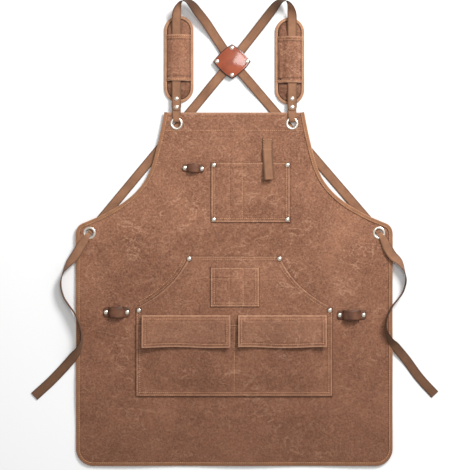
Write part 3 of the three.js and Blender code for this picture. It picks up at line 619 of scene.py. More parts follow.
class Finish:
    """A material of one Principled shader, with the nodes that feed it."""

    def __init__(self, name, **fixed):
        self.material = bpy.data.materials.new(name)
        self.material.use_nodes = True
        self.tree = self.material.node_tree
        self.tree.nodes.clear()
        self.shader = self.tree.nodes.new("ShaderNodeBsdfPrincipled")
        output = self.tree.nodes.new("ShaderNodeOutputMaterial")
        self.tree.links.new(self.shader.outputs[0], output.inputs["Surface"])
        for socket, value in fixed.items():
            self.shader.inputs[socket.replace("_", " ")].default_value = value

    def node(self, kind, settings, sockets, output=0):
        made = self.tree.nodes.new(kind)
        for setting, value in settings.items():
            setattr(made, setting, value)
        for socket, value in sockets.items():
            self.feed(made.inputs[socket], value)
        return Socket(self, made.outputs[output])

    def feed(self, target, value):
        if isinstance(value, Socket):
            self.tree.links.new(value.socket, target)
        else:
            target.default_value = value

    def place(self):
        return self.node("ShaderNodeTexCoord", {}, {}, output="Object")

    def run(self):
        return self.node("ShaderNodeUVMap", {"uv_map": "run"}, {})

    def parts(self, vector):
        apart = self.node("ShaderNodeSeparateXYZ", {}, {0: vector})
        return [Socket(self, out) for out in apart.socket.node.outputs]

    # Marks of wear, and of painted shade and painted highlight, set on each piece's points.
    def worn(self):
        return self.node("ShaderNodeAttribute", {"attribute_name": "worn"}, {}, output="Fac")

    def noise(self, vector, scale, detail=3.0, roughness=0.55, distortion=0.0):
        sockets = {"Scale": scale, "Detail": detail, "Roughness": roughness, "Distortion": distortion}
        return self.node("ShaderNodeTexNoise", {}, {"Vector": vector, **sockets})

    def mix(self, share, first, second):
        return self.node(
            "ShaderNodeMix", {"data_type": "RGBA"}, {"Factor": share, 6: first, 7: second}, output=2
        )

    def painted_shade_towards_hem(self, y, start, most):
        """Painted shade of light falling from above the bib: how much darker the cloth is from start down to
        the hem, where it is darkest.
        """
        sockets = {"From Min": -0.52, "From Max": start, "To Min": most, "To Max": 0.0}
        return self.node("ShaderNodeMapRange", {}, {"Value": y, **sockets})

    def stretched(self, vector, scale):
        return self.node("ShaderNodeMapping", {}, {"Vector": vector, "Scale": scale})

    def colour(self, value):
        self.feed(self.shader.inputs["Base Color"], value)

    def roughness(self, value):
        self.feed(self.shader.inputs["Roughness"], value)

    def relief(self, height, distance, strength=1.0):
        normal = self.node(
            "ShaderNodeBump", {}, {"Height": height, "Distance": distance, "Strength": strength}
        )
        self.feed(self.shader.inputs["Normal"], normal)


def rgba(colour, share=1.0):
    """A colour made lighter or darker, for a socket."""
    return (*(c * share for c in colour), 1.0)


def canvas_finish():
    """Waxed canvas: cloudy wax, pale cracks and a plain weave.

    Folds are pale with wear where the marks are above 0, and below 0 the cloth is painted in shade: in grooves,
    along edges that lie on other cloth, round rivets and on the pads.
    """
    colours = bpy.context.scene.apron_colours
    made = Finish("canvas", Specular_IOR_Level=0.22, Sheen_Weight=0.04, Sheen_Roughness=0.5)
    spot = made.place()
    x, y, _ = made.parts(spot)
    clouds = made.noise(spot, 7.0, 4.0, 0.6, 0.5)
    patches = made.noise(spot, 38.0, 5.0, 0.62, 0.8)
    specks = made.noise(spot, 235.0, 4.0, 0.7)
    grain = made.noise(spot, 900.0, 2.0)
    crossed = made.stretched(spot, (1.0, 1.7, 1.0))
    cracks = 1 - (made.noise(crossed, 16.0, 3.5, 0.55, 1.6) * 2 - 1).absolute() * 16
    fine_cracks = 1 - (made.noise(spot, 46.0, 3.0, 0.5, 1.2) * 2 - 1).absolute() * 13
    where = made.noise(spot, 11.0, 2.0).between(0.46, 0.64)
    creases = cracks.clipped() * where + fine_cracks.clipped() * (1 - where) * 0.45
    tone = (clouds - 0.5) * 0.9 + (patches - 0.5) * 0.5 + (specks - 0.5) * 1.75 + (grain - 0.5) * 0.9 + 0.46
    base = made.mix(tone.clipped(), rgba(colours.canvas_dark_and_shade), rgba(colours.canvas))
    broken = creases * 0.62 * specks.between(0.25, 0.6)
    creased = made.mix(broken.clipped(), base, rgba(colours.canvas_worn))
    worn_edge = made.worn() * (made.noise(spot, 260.0, 3.0) * 0.9 + 0.35)
    # Painted shade: where the marks are below 0 the canvas is mixed towards a dark shade colour.
    painted_shade = made.mix((made.worn() * -1).clipped(), creased, rgba(colours.canvas_dark_and_shade, 0.35))
    worn = made.mix(worn_edge.clipped(), painted_shade, rgba(colours.canvas_worn, 1.05))
    # Painted shade, darker towards the hem.
    made.colour(made.mix(made.painted_shade_towards_hem(y, 0.02, 0.54), worn, rgba(colours.canvas_dark_and_shade, 0.80)))
    made.roughness(0.66 + (patches - 0.5) * 0.35 - creases * 0.06)
    weave = (x * 5200).wave() * (y * 5200).wave()
    made.relief(weave * 0.2 + grain * 0.55 + creases * 0.4 + patches * 1.4 + specks * 1.3, 0.0006, 0.8)
    return made.material


def tape_finish():
    """Binding tape: a twill whose fold has rubbed pale, with painted shade towards the hem."""
    colours = bpy.context.scene.apron_colours
    made = Finish("binding_tape", Specular_IOR_Level=0.3, Sheen_Weight=0.06)
    spot = made.place()
    x, y, _ = made.parts(spot)
    patches = made.noise(spot, 60.0, 4.0)
    grain = made.noise(spot, 1100.0, 2.0)
    tone = (patches - 0.5) * 1.2 + (grain - 0.5) * 0.8 + 0.5
    base = made.mix(tone.clipped(), rgba(colours.tape, 0.62), rgba(colours.tape, 1.08))
    worn = made.mix((made.worn() * (patches * 1.1 + 0.1)).clipped(), base, rgba(colours.canvas_worn, 1.15))
    # Painted shade, darker towards the hem.
    made.colour(made.mix(made.painted_shade_towards_hem(y, 0.15, 0.38), worn, rgba(colours.canvas_dark_and_shade, 0.75)))
    made.roughness(0.7 + (patches - 0.5) * 0.2)
    made.relief(((x + y) * 4600).wave() * 0.3 + grain * 0.6 + patches, 0.0004, 0.8)
    return made.material


def webbing_finish():
    """Flat woven webbing: lengthwise ribs crossed by picks, with darker edges, painted shade inside the straps'
    turnovers and darker turned lengths of the ties.
    """
    colours = bpy.context.scene.apron_colours
    made = Finish("strap_webbing", Specular_IOR_Level=0.2, Sheen_Weight=0.05)
    spot = made.place()
    along, across, _ = made.parts(made.run())
    ribs = (across * (2 * math.pi / 0.0022)).wave()
    picks = (along * (2 * math.pi / 0.0016) + across * 900).wave()
    patches = made.noise(spot, 42.0, 4.0, 0.6)
    grain = made.noise(spot, 1000.0, 2.0)
    edge = across.absolute().between(0.0060, 0.0098)
    tone = (patches - 0.5) * 1.1 + (grain - 0.5) * 0.6 + ribs * 0.07 + picks * 0.05 + 0.52
    base = made.mix(tone.clipped(), rgba(colours.webbing, 0.55), rgba(colours.webbing, 1.3))
    edged = made.mix(edge * 0.75, base, rgba(colours.webbing, 0.3))
    # Painted shade inside the straps' turnovers; the ties are darker where turned on edge and over.
    made.colour(made.mix((made.worn() * 0.85).clipped(), edged, rgba(colours.webbing, 0.13)))
    made.roughness(0.78 + (patches - 0.5) * 0.2)
    made.relief(ribs * 0.5 + picks * 0.35 + grain * 0.4, 0.0004, 0.9)
    return made.material


def thread_finish():
    """Thick waxed thread, lighter and darker along its rows."""
    colours = bpy.context.scene.apron_colours
    made = Finish("thread", Specular_IOR_Level=0.35)
    patches = made.noise(made.place(), 90.0, 3.0)
    made.colour(made.mix(patches.between(0.3, 0.7), rgba(colours.thread, 0.6), rgba(colours.thread, 1.15)))
    made.roughness(0.6 + (patches - 0.5) * 0.2)
    made.relief(made.noise(made.place(), 2600.0, 1.0), 0.0002, 0.7)
    return made.material


def loop_leather_finish():
    """Oiled leather with a pebble grain and dark cut edges."""
    colours = bpy.context.scene.apron_colours
    made = Finish("loop_leather", Specular_IOR_Level=0.3)
    spot = made.place()
    pebbles = made.node("ShaderNodeTexVoronoi", {"feature": "F1"}, {"Vector": spot, "Scale": 750.0})
    patches = made.noise(spot, 55.0, 4.0)
    base = made.mix(patches.between(0.25, 0.75), rgba(colours.leather, 0.7), rgba(colours.leather, 1.6))
    made.colour(made.mix((made.worn() * 0.95).clipped(), base, rgba(colours.leather, 0.22)))
    made.roughness(0.52 + (patches - 0.5) * 0.3)
    made.relief(pebbles * 0.6 + patches, 0.0003, 0.6)
    return made.material


def patch_leather_finish():
    """Glazed leather, cloudy red-brown, with a dark painted edge."""
    colours = bpy.context.scene.apron_colours
    made = Finish("patch_leather", Specular_IOR_Level=0.3, Coat_Weight=0.7, Coat_Roughness=0.09)
    spot = made.place()
    clouds = made.noise(spot, 48.0, 4.0, 0.55, 0.6)
    pores = made.noise(spot, 700.0, 2.0)
    tone = (clouds - 0.5) * 1.3 + (pores - 0.5) * 0.35 + 0.5
    glaze = made.mix(tone.clipped(), rgba(colours.patch, 0.5), rgba(colours.patch, 1.35))
    made.colour(made.mix(made.worn().between(0.35, 0.65), glaze, (0.020, 0.012, 0.010, 1.0)))
    made.roughness(0.36 + (clouds - 0.5) * 0.2)
    made.relief(clouds * 1.2 + pores * 0.2, 0.0005, 0.5)
    return made.material


def nickel_finish():
    """Nickel plate with fine rubbing marks."""
    made = Finish("nickel", Metallic=1.0)
    spot = made.place()
    marks = made.noise(made.stretched(spot, (1.0, 3.0, 1.0)), 420.0, 3.0)
    made.colour(made.mix(marks.between(0.3, 0.8), (0.97, 0.89, 0.78, 1.0), (0.80, 0.71, 0.60, 1.0)))
    made.roughness(0.20 + marks * 0.16)
    made.relief(marks, 0.0001, 0.35)
    return made.material


def leather_back_finish():
    """Raw leather, fuzzy and matt: the back leaf of the patch."""
    colours = bpy.context.scene.apron_colours
    made = Finish("leather_back", Specular_IOR_Level=0.2)
    fuzz = made.noise(made.place(), 500.0, 3.0)
    made.colour(made.mix(fuzz, rgba(colours.leather, 1.1), rgba(colours.leather, 2.1)))
    made.roughness(0.9)
    made.relief(fuzz, 0.0003, 0.8)
    return made.material


def bench_finish():
    """A pale, matt bench top."""
    made = Finish("bench", Roughness=0.9, Specular_IOR_Level=0.1)
    made.colour((0.93, 0.93, 0.93, 1.0))
    return made.material


FINISHES = {
    "canvas": canvas_finish,
    "binding_tape": tape_finish,
    "strap_webbing": webbing_finish,
    "thread": thread_finish,
    "loop_leather": loop_leather_finish,
    "patch_leather": patch_leather_finish,
    "leather_back": leather_back_finish,
    "nickel": nickel_finish,
    "bench": bench_finish,
}


def finish(name):
    """The material of that name, made when it is first asked for."""
    found = bpy.data.materials.get(name)
    if found is not None and found.get("apron"):
        return found
    material = FINISHES[name]()
    material["apron"] = True
    material.name = name
    return material


# ---------------------------------------------------------------- pieces of cloth

def sew(body, *rows):
    """Keeps rows of points, with y from the hem, for the thread that is sewn last."""
    stitch_rows.setdefault(body, []).extend(place(row) for row in rows)


def on(surface, points):
    """Points in the plane lifted onto a surface."""
    points = np.asarray(points, float)
    return np.column_stack([points, surface(points[:, 0], points[:, 1])])


def line(x0, y0, x1, y1, step=0.006):
    """A straight row of points a step apart."""
    return even_steps([(x0, y0), (x1, y1)], step)


def span(node):
    """Left, right, lower and upper edge of a node, with y from the hem."""
    low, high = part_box(node)
    return low[0], high[0], low[1] - HEM, high[1] - HEM


def make_panel():
    """The body's one piece of canvas and the facing behind its top edge, with their grommet holes."""
    edge, row_step = TAPE + GAP, 0.0045
    corner_rows = HEM_RADIUS - HEM_RADIUS * np.cos(np.linspace(0.06, math.pi / 2, 12))
    straight_rows = np.arange(HEM_RADIUS + row_step, BODY_LENGTH - edge, row_step)
    rows = np.concatenate([corner_rows + edge, straight_rows, [BODY_LENGTH - edge]])
    across = np.linspace(-1, 1, 151)
    x = across[None, :] * (half_width(rows) - edge)[:, None]
    y = np.repeat(rows[:, None], len(across), axis=1)
    fold = bump(y, BODY_LENGTH - edge, 0.0022)
    panel = cloth("apron_body", x, y, panel_top(x, y), worn=fold * 0.8, under=panel_under(x, y))
    holes = [np.mean(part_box(n), axis=0)[:2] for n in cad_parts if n.endswith("_eyelet")]
    panel = punched(panel, holes, GROMMET_HOLE + GROMMET_BARREL)
    settle(panel, "apron", "canvas", "apron_panel")
    low = span("bib_facing")[2]
    x, y = np.meshgrid(np.linspace(-1, 1, 60), np.linspace(low, BODY_LENGTH - edge, 12))
    x = x * (half_width(y) - BINDING_WIDTH)
    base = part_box("bib_facing")[1][2]
    facing = cloth("bib_facing_cloth", x, y, np.full_like(x, base) + ripple(x, y, 0.0001))
    bib_holes = [hole for hole in holes if hole[1] - HEM > SIDE_LENGTH]
    facing = punched(facing, bib_holes, GROMMET_HOLE + GROMMET_BARREL)
    settle(facing, "apron", "canvas", "bib_facing")
    foot = low + 0.0015
    half_foot = half_width(foot) - BINDING_WIDTH
    sew("apron", on(panel_top, line(-half_foot, foot, half_foot, foot)))
    area = np.sum((HALF_EDGE[1:, 0] + HALF_EDGE[:-1, 0]) * np.diff(HALF_EDGE[:, 1]))
    return panel, facing, area


def tape_section(points, along, under, top, width, tape):
    """Sections of a tape folded round an edge.

    The outer skin goes from the lower lip round to the upper one, and the inner skin comes back.
    """
    middle, radius = (under + top) / 2, (top - under) / 2
    turn = np.radians(np.linspace(-90, 90, 9))
    sections = []
    for point, towards, mid, r in zip(points, to_right(along), middle, radius):
        hollow = r - tape
        outer = [(r - r * math.cos(a), r * math.sin(a)) for a in turn]
        outer = [(width, -r), *outer, (width, r)]
        inner = [(r - hollow * math.cos(a), hollow * math.sin(a)) for a in turn[::-1]]
        inner = [(width, hollow), *inner, (width, -hollow)]
        sections.append([(*(point + towards * s), mid + h) for s, h in outer + inner])
    around = len(outer) + len(inner)
    worn = np.zeros(around)
    worn[1 : len(outer) - 1] = np.cos(turn) ** 2
    return np.array(sections), worn


def bind(name, edge, body, node, under, top, width, tape, closed=False, pale=0.0):
    """Binding tape along an edge in the plane, with its stitched row."""
    if closed:
        along = np.roll(edge, -1, axis=0) - np.roll(edge, 1, axis=0)
    else:
        along = np.gradient(edge, axis=0)
    along = unit(along)
    sections, worn = tape_section(edge, along, under, top, width, tape)
    # Painted highlight where pale is above 0: the whole tape is painted at least this pale.
    worn = np.maximum(worn, pale)
    piece = sweep(name, sections, "binding_tape", closed=closed, worn=np.tile(worn, len(edge)), sharp=60)
    face_outwards(piece)
    settle(piece, body, "binding_tape", node)
    row = edge + to_right(along) * (width - TAPE_ROW)
    sew(body, np.column_stack([row, top]))
    return piece


def make_bindings():
    """The tape round the armholes and round the skirt."""
    mirrored = (-1, 1)
    whole = np.vstack([SKIRT_EDGE, (SKIRT_EDGE * mirrored)[::-1]])
    edges = {
        "armhole_binding_right": ARM_EDGE,
        "armhole_binding_left": (ARM_EDGE * mirrored)[::-1],
        "skirt_binding": whole,
    }
    pieces = []
    for node, edge in edges.items():
        edge = even_steps(edge, 0.005)
        x, y = edge[:, 0], edge[:, 1]
        number = np.arange(len(x))
        pucker = 0.00018 * np.sin(number * 1.9) + 0.00012 * np.sin(number * 0.7)
        under = panel_under(x * 0.995, y) - GAP - TAPE + 0.0001
        top = under + CANVAS + 2 * (GAP + TAPE) + pucker
        name = node.replace("binding", "tape")
        pieces.append(bind(name, edge, "apron", node, under, top, BINDING_WIDTH, TAPE))
    return pieces


def pouch_edge():
    """The pouch's right side opening, from its side up to its top."""
    _, half, _, top = span("pouch_panel")
    reach, climb = half - POUCH_TOP_HALF, top - POUCH_SIDE
    return cubic(
        (half, POUCH_SIDE),
        (half - reach * 0.52, POUCH_SIDE + climb * 0.26),
        (half - reach * 0.83, POUCH_SIDE + climb * 0.60),
        (POUCH_TOP_HALF, top),
        60,
    )


def rows_dip(distance):
    """The groove that two rows of stitches pull into cloth, by distance from the edge."""
    return -0.00032 * (bump(distance, ROW_NEAR, 0.0012) + bump(distance, ROW_FAR, 0.0012))


def turned_hem(distance, depth=0.0105):
    """Extra thickness of an edge that is turned under."""
    return 0.0005 * ease(distance, depth + 0.0012, depth - 0.0012)


def pouch_top(x, y):
    """The pouch's upper face: sewn down round its edge, and full in the middle."""
    _, right, low, high = span("pouch_panel")
    side, bottom, top = right - np.abs(x), y - low, high - y
    full = ease(side, 0.007, 0.055) * ease(bottom, 0.007, 0.05) * ease(top, 0.008, 0.055)
    curve = pouch_edge()
    opening = np.interp(np.abs(x), curve[::-1, 0], curve[::-1, 1]) - y
    flat_at_opening = 0.25 + 0.75 * ease(opening, 0.0, 0.05)
    curved = (np.abs(x) > POUCH_TOP_HALF) & (y > POUCH_SIDE - 0.03)
    rise = 0.0009 * curved * ease(opening, 0.035, 0.0) * free(x, y)
    edge = np.minimum(np.minimum(side, bottom), np.where(np.abs(x) > POUCH_TOP_HALF, opening * 0.75, top))
    return (
        panel_under(x, y) + CANVAS + GAP + CANVAS
        + POUCH_LIFT * full * flat_at_opening + rise
        + (rows_dip(edge) + turned_hem(edge)) + ripple(x, y) * free(x, y)
    )


def lower_top(x, y):
    """The lower pockets' upper face: sewn down at the sides, the bottom and the middle, and open at the top."""
    _, right, low, high = span("lower_pocket_panel")
    side, bottom, top = right - np.abs(x), y - low, high - y
    full = ease(side, 0.008, 0.06) * ease(bottom, 0.008, 0.055) * ease(np.abs(x), 0.002, 0.05)
    edge = np.minimum(side, bottom)
    centre_row = -0.0005 * bump(x, 0, 0.0016)
    fall = 0.55 + 0.45 * ease(y, low + 0.03, high - 0.01)
    return (
        pouch_top(x, y) - rows_dip(edge) - turned_hem(edge) + GAP + CANVAS
        + LOWER_LIFT * full * fall + centre_row
        + rows_dip(edge) + turned_hem(edge) + turned_hem(top, 0.012) + ripple(y, x, 0.0003)
    )


def divided(x, left, right, rows):
    """0 at each sewn row of a divided pocket and 1 in the middle of each compartment."""
    stops = [left + ROW_FAR, *rows, right - ROW_FAR]
    bulge = np.zeros_like(x)
    for start, end in zip(stops, stops[1:]):
        share = np.clip((x - start) / (end - start), 0, 1)
        bulge = np.maximum(bulge, np.sin(math.pi * share) ** 0.75 * min((end - start) / 0.05, 1) ** 0.5)
    return bulge


def divided_pocket_top(kind, node, under, lift):
    """Surface of a small pocket with sewn compartments that stand a little open at the top."""
    left, right, low, high = span(node)

    def surface(x, y):
        side, bottom, top = np.minimum(x - left, right - x), y - low, high - y
        edge = np.minimum(side, bottom)
        tubes = divided(x, left, right, SEAMS[kind]) * ease(bottom, 0.006, 0.045)
        seam = sum(-0.0004 * bump(x, row, 0.0015) for row in SEAMS[kind])
        hem = turned_hem(top, 0.024) - 0.0003 * bump(top, 0.025, 0.0014) if kind == "pen" else turned_hem(top)
        return (
            under(x, y) + GAP + CANVAS + lift * tubes * (0.6 + 0.4 * ease(top, 0.05, 0.0))
            + rows_dip(edge) + turned_hem(edge) + seam + hem
        )

    return surface


CHEST_TOP = divided_pocket_top("chest", "chest_pocket_panel", panel_top, 0.0030)
PEN_TOP = divided_pocket_top("pen", "pen_pocket_panel", pouch_top, 0.0024)


def rectangle_grid(left, right, low, high, step):
    """Grids of x and y over a rectangle, about a step apart."""
    columns, rows = int((right - left) / step) + 1, int((high - low) / step) + 1
    return np.meshgrid(np.linspace(left, right, columns), np.linspace(low, high, rows))


def rectangle_distance(x, y, left, right, low, high):
    """How far points lie inside a rectangle."""
    return np.minimum.reduce((x - left, right - x, y - low, high - y))


def edge_wear_and_groove_shade(distance, width=0.0018):
    """Pale on the fold of an edge, with painted shade in the grooves beside its two rows of stitches."""
    grooves = 0.26 * bump(distance, 0.0052, 0.0012) + 0.34 * bump(distance, 0.0104, 0.0013)
    return 0.85 * np.exp(-((np.maximum(distance, 0) / width) ** 2)) - grooves


def sewn_edge_wear_and_shade(distance):
    """Wear of an edge sewn flat: painted shade lines the very edge, where it lies on the cloth below, and the
    fold just inside it is pale.
    """
    return edge_wear_and_groove_shade(distance) * 0.5 + 0.35 * bump(distance, 0.0030, 0.0016) - 1.25 * bump(distance, 0, 0.0008)


def rivet_shade(x, y):
    """Dark rings round the rivets: painted shade at each rivet's rim."""
    distance = np.min([np.hypot(x - at_x, y - at_y) for at_x, at_y in RIVET_PLACES], axis=0)
    return 0.8 * bump(distance, 0.0052, 0.0016)


def make_pouch():
    """The big pouch, whose sides curve in above the hands' openings."""
    _, right, low, high = span("pouch_panel")
    curve = pouch_edge()
    rows = low + (high - low) * np.linspace(0, 1, 131)
    across = np.linspace(-1, 1, 191)
    half = np.where(rows < POUCH_SIDE, right, np.interp(rows, curve[:, 1], curve[:, 0]))
    x = across[None, :] * half[:, None]
    y = np.repeat(rows[:, None], len(across), axis=1)
    from_side = (half[:, None] - np.abs(x)) * np.where(y > POUCH_SIDE, 0.75, 1)
    wear_and_shade = sewn_edge_wear_and_shade(np.minimum(from_side, np.minimum(y - low, high - y))) - rivet_shade(x, y)
    piece = cloth("pouch", x, y, pouch_top(x, y), worn=wear_and_shade)
    settle(piece, "apron", "canvas", "pouch_panel")
    for side in (-1, 1):
        lined = even_steps(curve * (side, 1), 0.004)
        for gap_in in (ROW_NEAR, ROW_FAR):
            row_x = side * (right - gap_in)
            sew("apron", on(pouch_top, inset(lined[::side], gap_in * -side)[3:-3]))
            sew("apron", on(pouch_top, line(row_x, POUCH_ROW_END, row_x, POUCH_SIDE - 0.012)))
    end = POUCH_TOP_HALF - 0.007
    for gap_in in (ROW_NEAR, ROW_FAR):
        sew("apron", on(pouch_top, line(-end, high - gap_in, end, high - gap_in)))
    return piece


def make_lower_pockets():
    """Two pockets side by side, one piece of canvas with a row sewn down its middle."""
    left, right, low, high = span("lower_pocket_panel")
    x, y = rectangle_grid(left, right, low, high, 0.0024)
    edge = np.minimum.reduce((right - np.abs(x), y - low, high - y))
    piece = cloth("lower_pockets", x, y, lower_top(x, y), worn=sewn_edge_wear_and_shade(edge))
    settle(piece, "apron", "canvas", "lower_pocket_panel")
    for gap_in in (ROW_NEAR, ROW_FAR):
        for row_x in (gap_in - right, right - gap_in):
            sew("apron", on(lower_top, line(row_x, low + gap_in, row_x, high - 0.002)))
        sew("apron", on(lower_top, line(left + gap_in, low + gap_in, right - gap_in, low + gap_in)))
        sew("apron", on(lower_top, line(left + 0.013, high - gap_in, right - 0.013, high - gap_in)))
    sew("apron", on(lower_top, line(0, low + ROW_FAR, 0, high - ROW_FAR)))
    return piece


def make_divided_pocket(name, node, surface, kind, hem):
    """A small pocket with sewn compartments; hem is the depth of a second row below its top, if it has one."""
    left, right, low, high = edges = span(node)
    x, y = rectangle_grid(*edges, 0.0017)
    wear_and_shade = sewn_edge_wear_and_shade(rectangle_distance(x, y, *edges)) - rivet_shade(x, y)
    piece = cloth(name, x, y, surface(x, y), worn=wear_and_shade)
    settle(piece, "apron", "canvas", node)
    for gap_in in (ROW_NEAR, ROW_FAR):
        for row_x in (left + gap_in, right - gap_in):
            sew("apron", on(surface, line(row_x, low + gap_in, row_x, high - 0.002)))
        sew("apron", on(surface, line(left + gap_in, low + gap_in, right - gap_in, low + gap_in)))
    sew("apron", on(surface, line(left + 0.003, high - ROW_NEAR, right - 0.003, high - ROW_NEAR)))
    if hem:
        sew("apron", on(surface, line(left + 0.003, high - hem, right - 0.003, high - hem)))
    for row in SEAMS[kind]:
        sew("apron", on(surface, line(row, low + ROW_NEAR, row, high - 0.002)))
    return piece


def flap_top(side):
    """A flap's upper face: sewn flat at its root, and standing off the pocket along its free edge."""
    left, right, low, high = span("pocket_flap_left" if side < 0 else "pocket_flap_right")
    root = high + FLAP_ROOT
    free_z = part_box("pocket_flap_left")[1][2]

    def surface(x, y):
        down = (root - y) / (root - low)
        across = (x - left) / (right - left)
        over = FLAP_ROOT_Z + 0.0060 * ease(down, 0.0, 0.24)
        stand = (free_z - 0.0190) * ease(down, 0.25, 1.0)
        curl = 0.0016 * ease(down, 0.45, 1.0) * np.sin(7.5 * across + (0.4 if side < 0 else 2.2))
        corners = 0.0010 * ease(down, 0.5, 1.0) * ease(np.abs(across - 0.5), 0.38, 0.5)
        edge = np.minimum.reduce((x - left, right - x, y - low))
        sewn = rows_dip(edge) * 0.8 + turned_hem(edge)
        return over + stand + curl + corners + sewn + ripple(x, y, 0.0003)

    return surface, (left, right, low, root)


def make_flap(word, side):
    """A pocket flap, sewn to the pouch at its root and standing free of the pocket below it."""
    surface, edges = flap_top(side)
    left, right, low, root = edges

    def sagged(x, y):
        share = np.clip((x - left) / (right - left), 0, 1)
        return FLAP_SAG * np.sin(share * math.pi * 2.3 + side) * ease(y, root, low)

    def sewn(points):
        lifted = on(surface, points)
        lifted[:, 1] += sagged(points[:, 0], points[:, 1])
        return lifted

    x, y = rectangle_grid(*edges, 0.0017)
    # The flap is painted paler all over, which takes back part of the painted shade towards the hem; its edges
    # get pale wear and painted groove shade.
    wear_and_shade = edge_wear_and_groove_shade(rectangle_distance(x, y, *edges), 0.0022) + 0.12
    piece = cloth("flap_" + word, x, y + sagged(x, y), surface(x, y), thickness=0.0015, worn=wear_and_shade)
    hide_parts("pocket_flap_" + word)
    hinge_y = root - FLAP_ROOT
    HEM + hinge_y + 0.001
    HEM + hinge_y - 0.009
    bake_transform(piece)
    for gap_in in (ROW_NEAR, ROW_FAR):
        sew("apron", sewn(line(left + 0.002, root - gap_in, right - 0.002, root - gap_in)))
    gap_in = ROW_FAR - 0.001
    body = "flap_" + word
    for row_x in (left + gap_in, right - gap_in):
        sew(body, sewn(line(row_x, hinge_y - 0.004, row_x, low + gap_in)))
    sew(body, sewn(line(left + gap_in, low + gap_in, right - gap_in, low + gap_in)))
    return piece, (right - left, root - low)


# ---------------------------------------------------------------- webbing

def strap_section(half, thickness):
    """Half-width and height of a ribbed strap's section, once round."""
    across = np.linspace(-1, 1, 15)
    round_off = (1 - np.abs(across) ** 12) ** 0.5
    ribs = 0.00007 * np.cos(across * math.pi * 5)
    top = thickness / 2 * round_off + ribs * round_off
    upper = np.column_stack([across * half, top])
    lower = np.column_stack([across * half, -top])[::-1][1:-1]
    return np.vstack([upper, lower])


def ribbon(name, centres, sides, normals, widths, thickness, dark=None):
    """A strap through centres, with the way across and the way out of its face at each, and how dark it is
    painted along its length.
    """
    run = np.concatenate([[0], np.cumsum(np.linalg.norm(np.diff(centres, axis=0), axis=1))])
    sections, uv = [], []
    for centre, side, normal, width, along in zip(centres, sides, normals, widths, run):
        section = strap_section(width / 2, thickness)
        sections.append(centre + section[:, :1] * side + section[:, 1:] * normal)
        uv += [(along, across) for across in section[:, 0]]
    worn = None if dark is None else np.repeat(dark, len(section))
    return face_outwards(sweep(name, np.array(sections), "strap_webbing", uv=uv, worn=worn, sharp=65))


def rolled_path(stations, steps):
    """Centres, ways across, faces, widths and turned angles of a strap along x, y, z, roll and width."""
    stations = np.asarray(stations, float)
    centres = flowing_curve(stations[:, :3] * 1000, steps) / 1000
    lie = np.column_stack([stations[:, 3], stations[:, 4] * 1000, np.zeros(len(stations))])
    lie = flowing_curve(lie, steps)
    centres[:, 2] = np.maximum(centres[:, 2], FLOOR_STRAP_Z)
    along = unit(np.gradient(centres, axis=0))
    right = unit(np.cross(along, (0, 0, 1)))
    face = np.cross(right, along)
    roll = np.radians(lie[:, :1])
    sides = right * np.cos(roll) - face * np.sin(roll)
    normals = right * np.sin(roll) + face * np.cos(roll)
    return centres, sides, normals, lie[:, 1] / 1000, np.abs(lie[:, 0])


def harness_stations(side):
    """A strap from its rounded end, over its pad, turned over, through the patch and into the far grommet."""
    far = middle_of("side_grommet_left_eyelet" if side > 0 else "side_grommet_right_eyelet")
    patch = middle_of("cross_patch_front")
    run = (far - patch) / np.linalg.norm(far - patch)
    x, hole_z = side * BIB_GROMMET_X, BIB_Z + CANVAS / 2
    patch_back_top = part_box("cross_patch_back")[1][2]
    under_patch = patch_back_top + GAP + WEBBING / 2 + (0 if side < 0 else WEBBING + GAP)
    stations = [(x, BODY_LENGTH + above, STRAP_OVER_PAD_Z, 0, width) for above, width in STRAP_START]
    for out, above, rise, roll in TURNOVER:
        stations.append((x + side * out, BODY_LENGTH + above, STRAP_OVER_PAD_Z + rise, -side * roll, STRAP))

    def along(point, distance, height, width=STRAP, way=run):
        at = point + way * distance
        stations.append((*at, height, -side * 180, width))

    entry = patch - np.array(stations[-1][:2])
    entry /= np.linalg.norm(entry)
    for distance in UNDER_PATCH:
        along(patch, distance, under_patch, way=entry if distance < 0 else run)
    for distance in PAST_PATCH:
        along(patch, distance, FLOOR_STRAP_Z)
    for distance, drop, width in INTO_GROMMET:
        along(far, distance, hole_z - drop, width)
    return stations


def make_harness_straps():
    """The two crossed straps, with painted shade inside their turnovers."""
    for word, side in (("left", -1), ("right", 1)):
        *path, roll = rolled_path(harness_stations(side), 380)
        run = np.linspace(0, 1, len(roll))
        # Painted shade where the strap rolls over near its turnover.
        dark = ease(roll, 60, 105) * ease(run, 0.54, 0.41)
        piece = ribbon("strap_" + word, *path, WEBBING, dark=dark)
        settle(piece, "apron", "strap_webbing", "harness_strap_" + word)


def make_ties():
    """The free ends, each a cord of flat webbing from its grommet to its cut end."""
    for name, stations in TIES.items():
        centres, sides, normals, widths, roll = rolled_path(stations, 240)
        # Darker where the tie is turned on edge and over.
        dark = 0.62 * ease(roll, 20, 100)
        piece = ribbon(name + "_webbing", centres, sides, normals, widths, WEBBING, dark=dark)
        settle(piece, "apron", "strap_webbing", name)
        path = place(centres)
        tuple(path[0])
        [tuple(p) for p in path[::4]]


def make_bib_loops():
    """The short loops that pass through the bib's grommets and carry the straps."""
    grommet_y = middle_of("bib_grommet_left_eyelet")[1]
    for word, side in (("left", -1), ("right", 1)):
        stations = np.array([(side * BIB_GROMMET_X, grommet_y + y, z) for y, z, _ in BIB_LOOP])
        centres = flowing_curve(stations * 1000, 170) / 1000
        widths = flowing_curve([(w * 1000, 0, 0) for _, _, w in BIB_LOOP], 170)[:, 0] / 1000
        sides = np.tile((1.0, 0, 0), (len(centres), 1))
        normals = unit(np.cross(sides, np.gradient(centres, axis=0)))
        piece = ribbon("bib_loop_webbing_" + word, centres, sides, normals, widths, LOOP_WEBBING)
        settle(piece, "apron", "strap_webbing", "bib_loop_" + word)


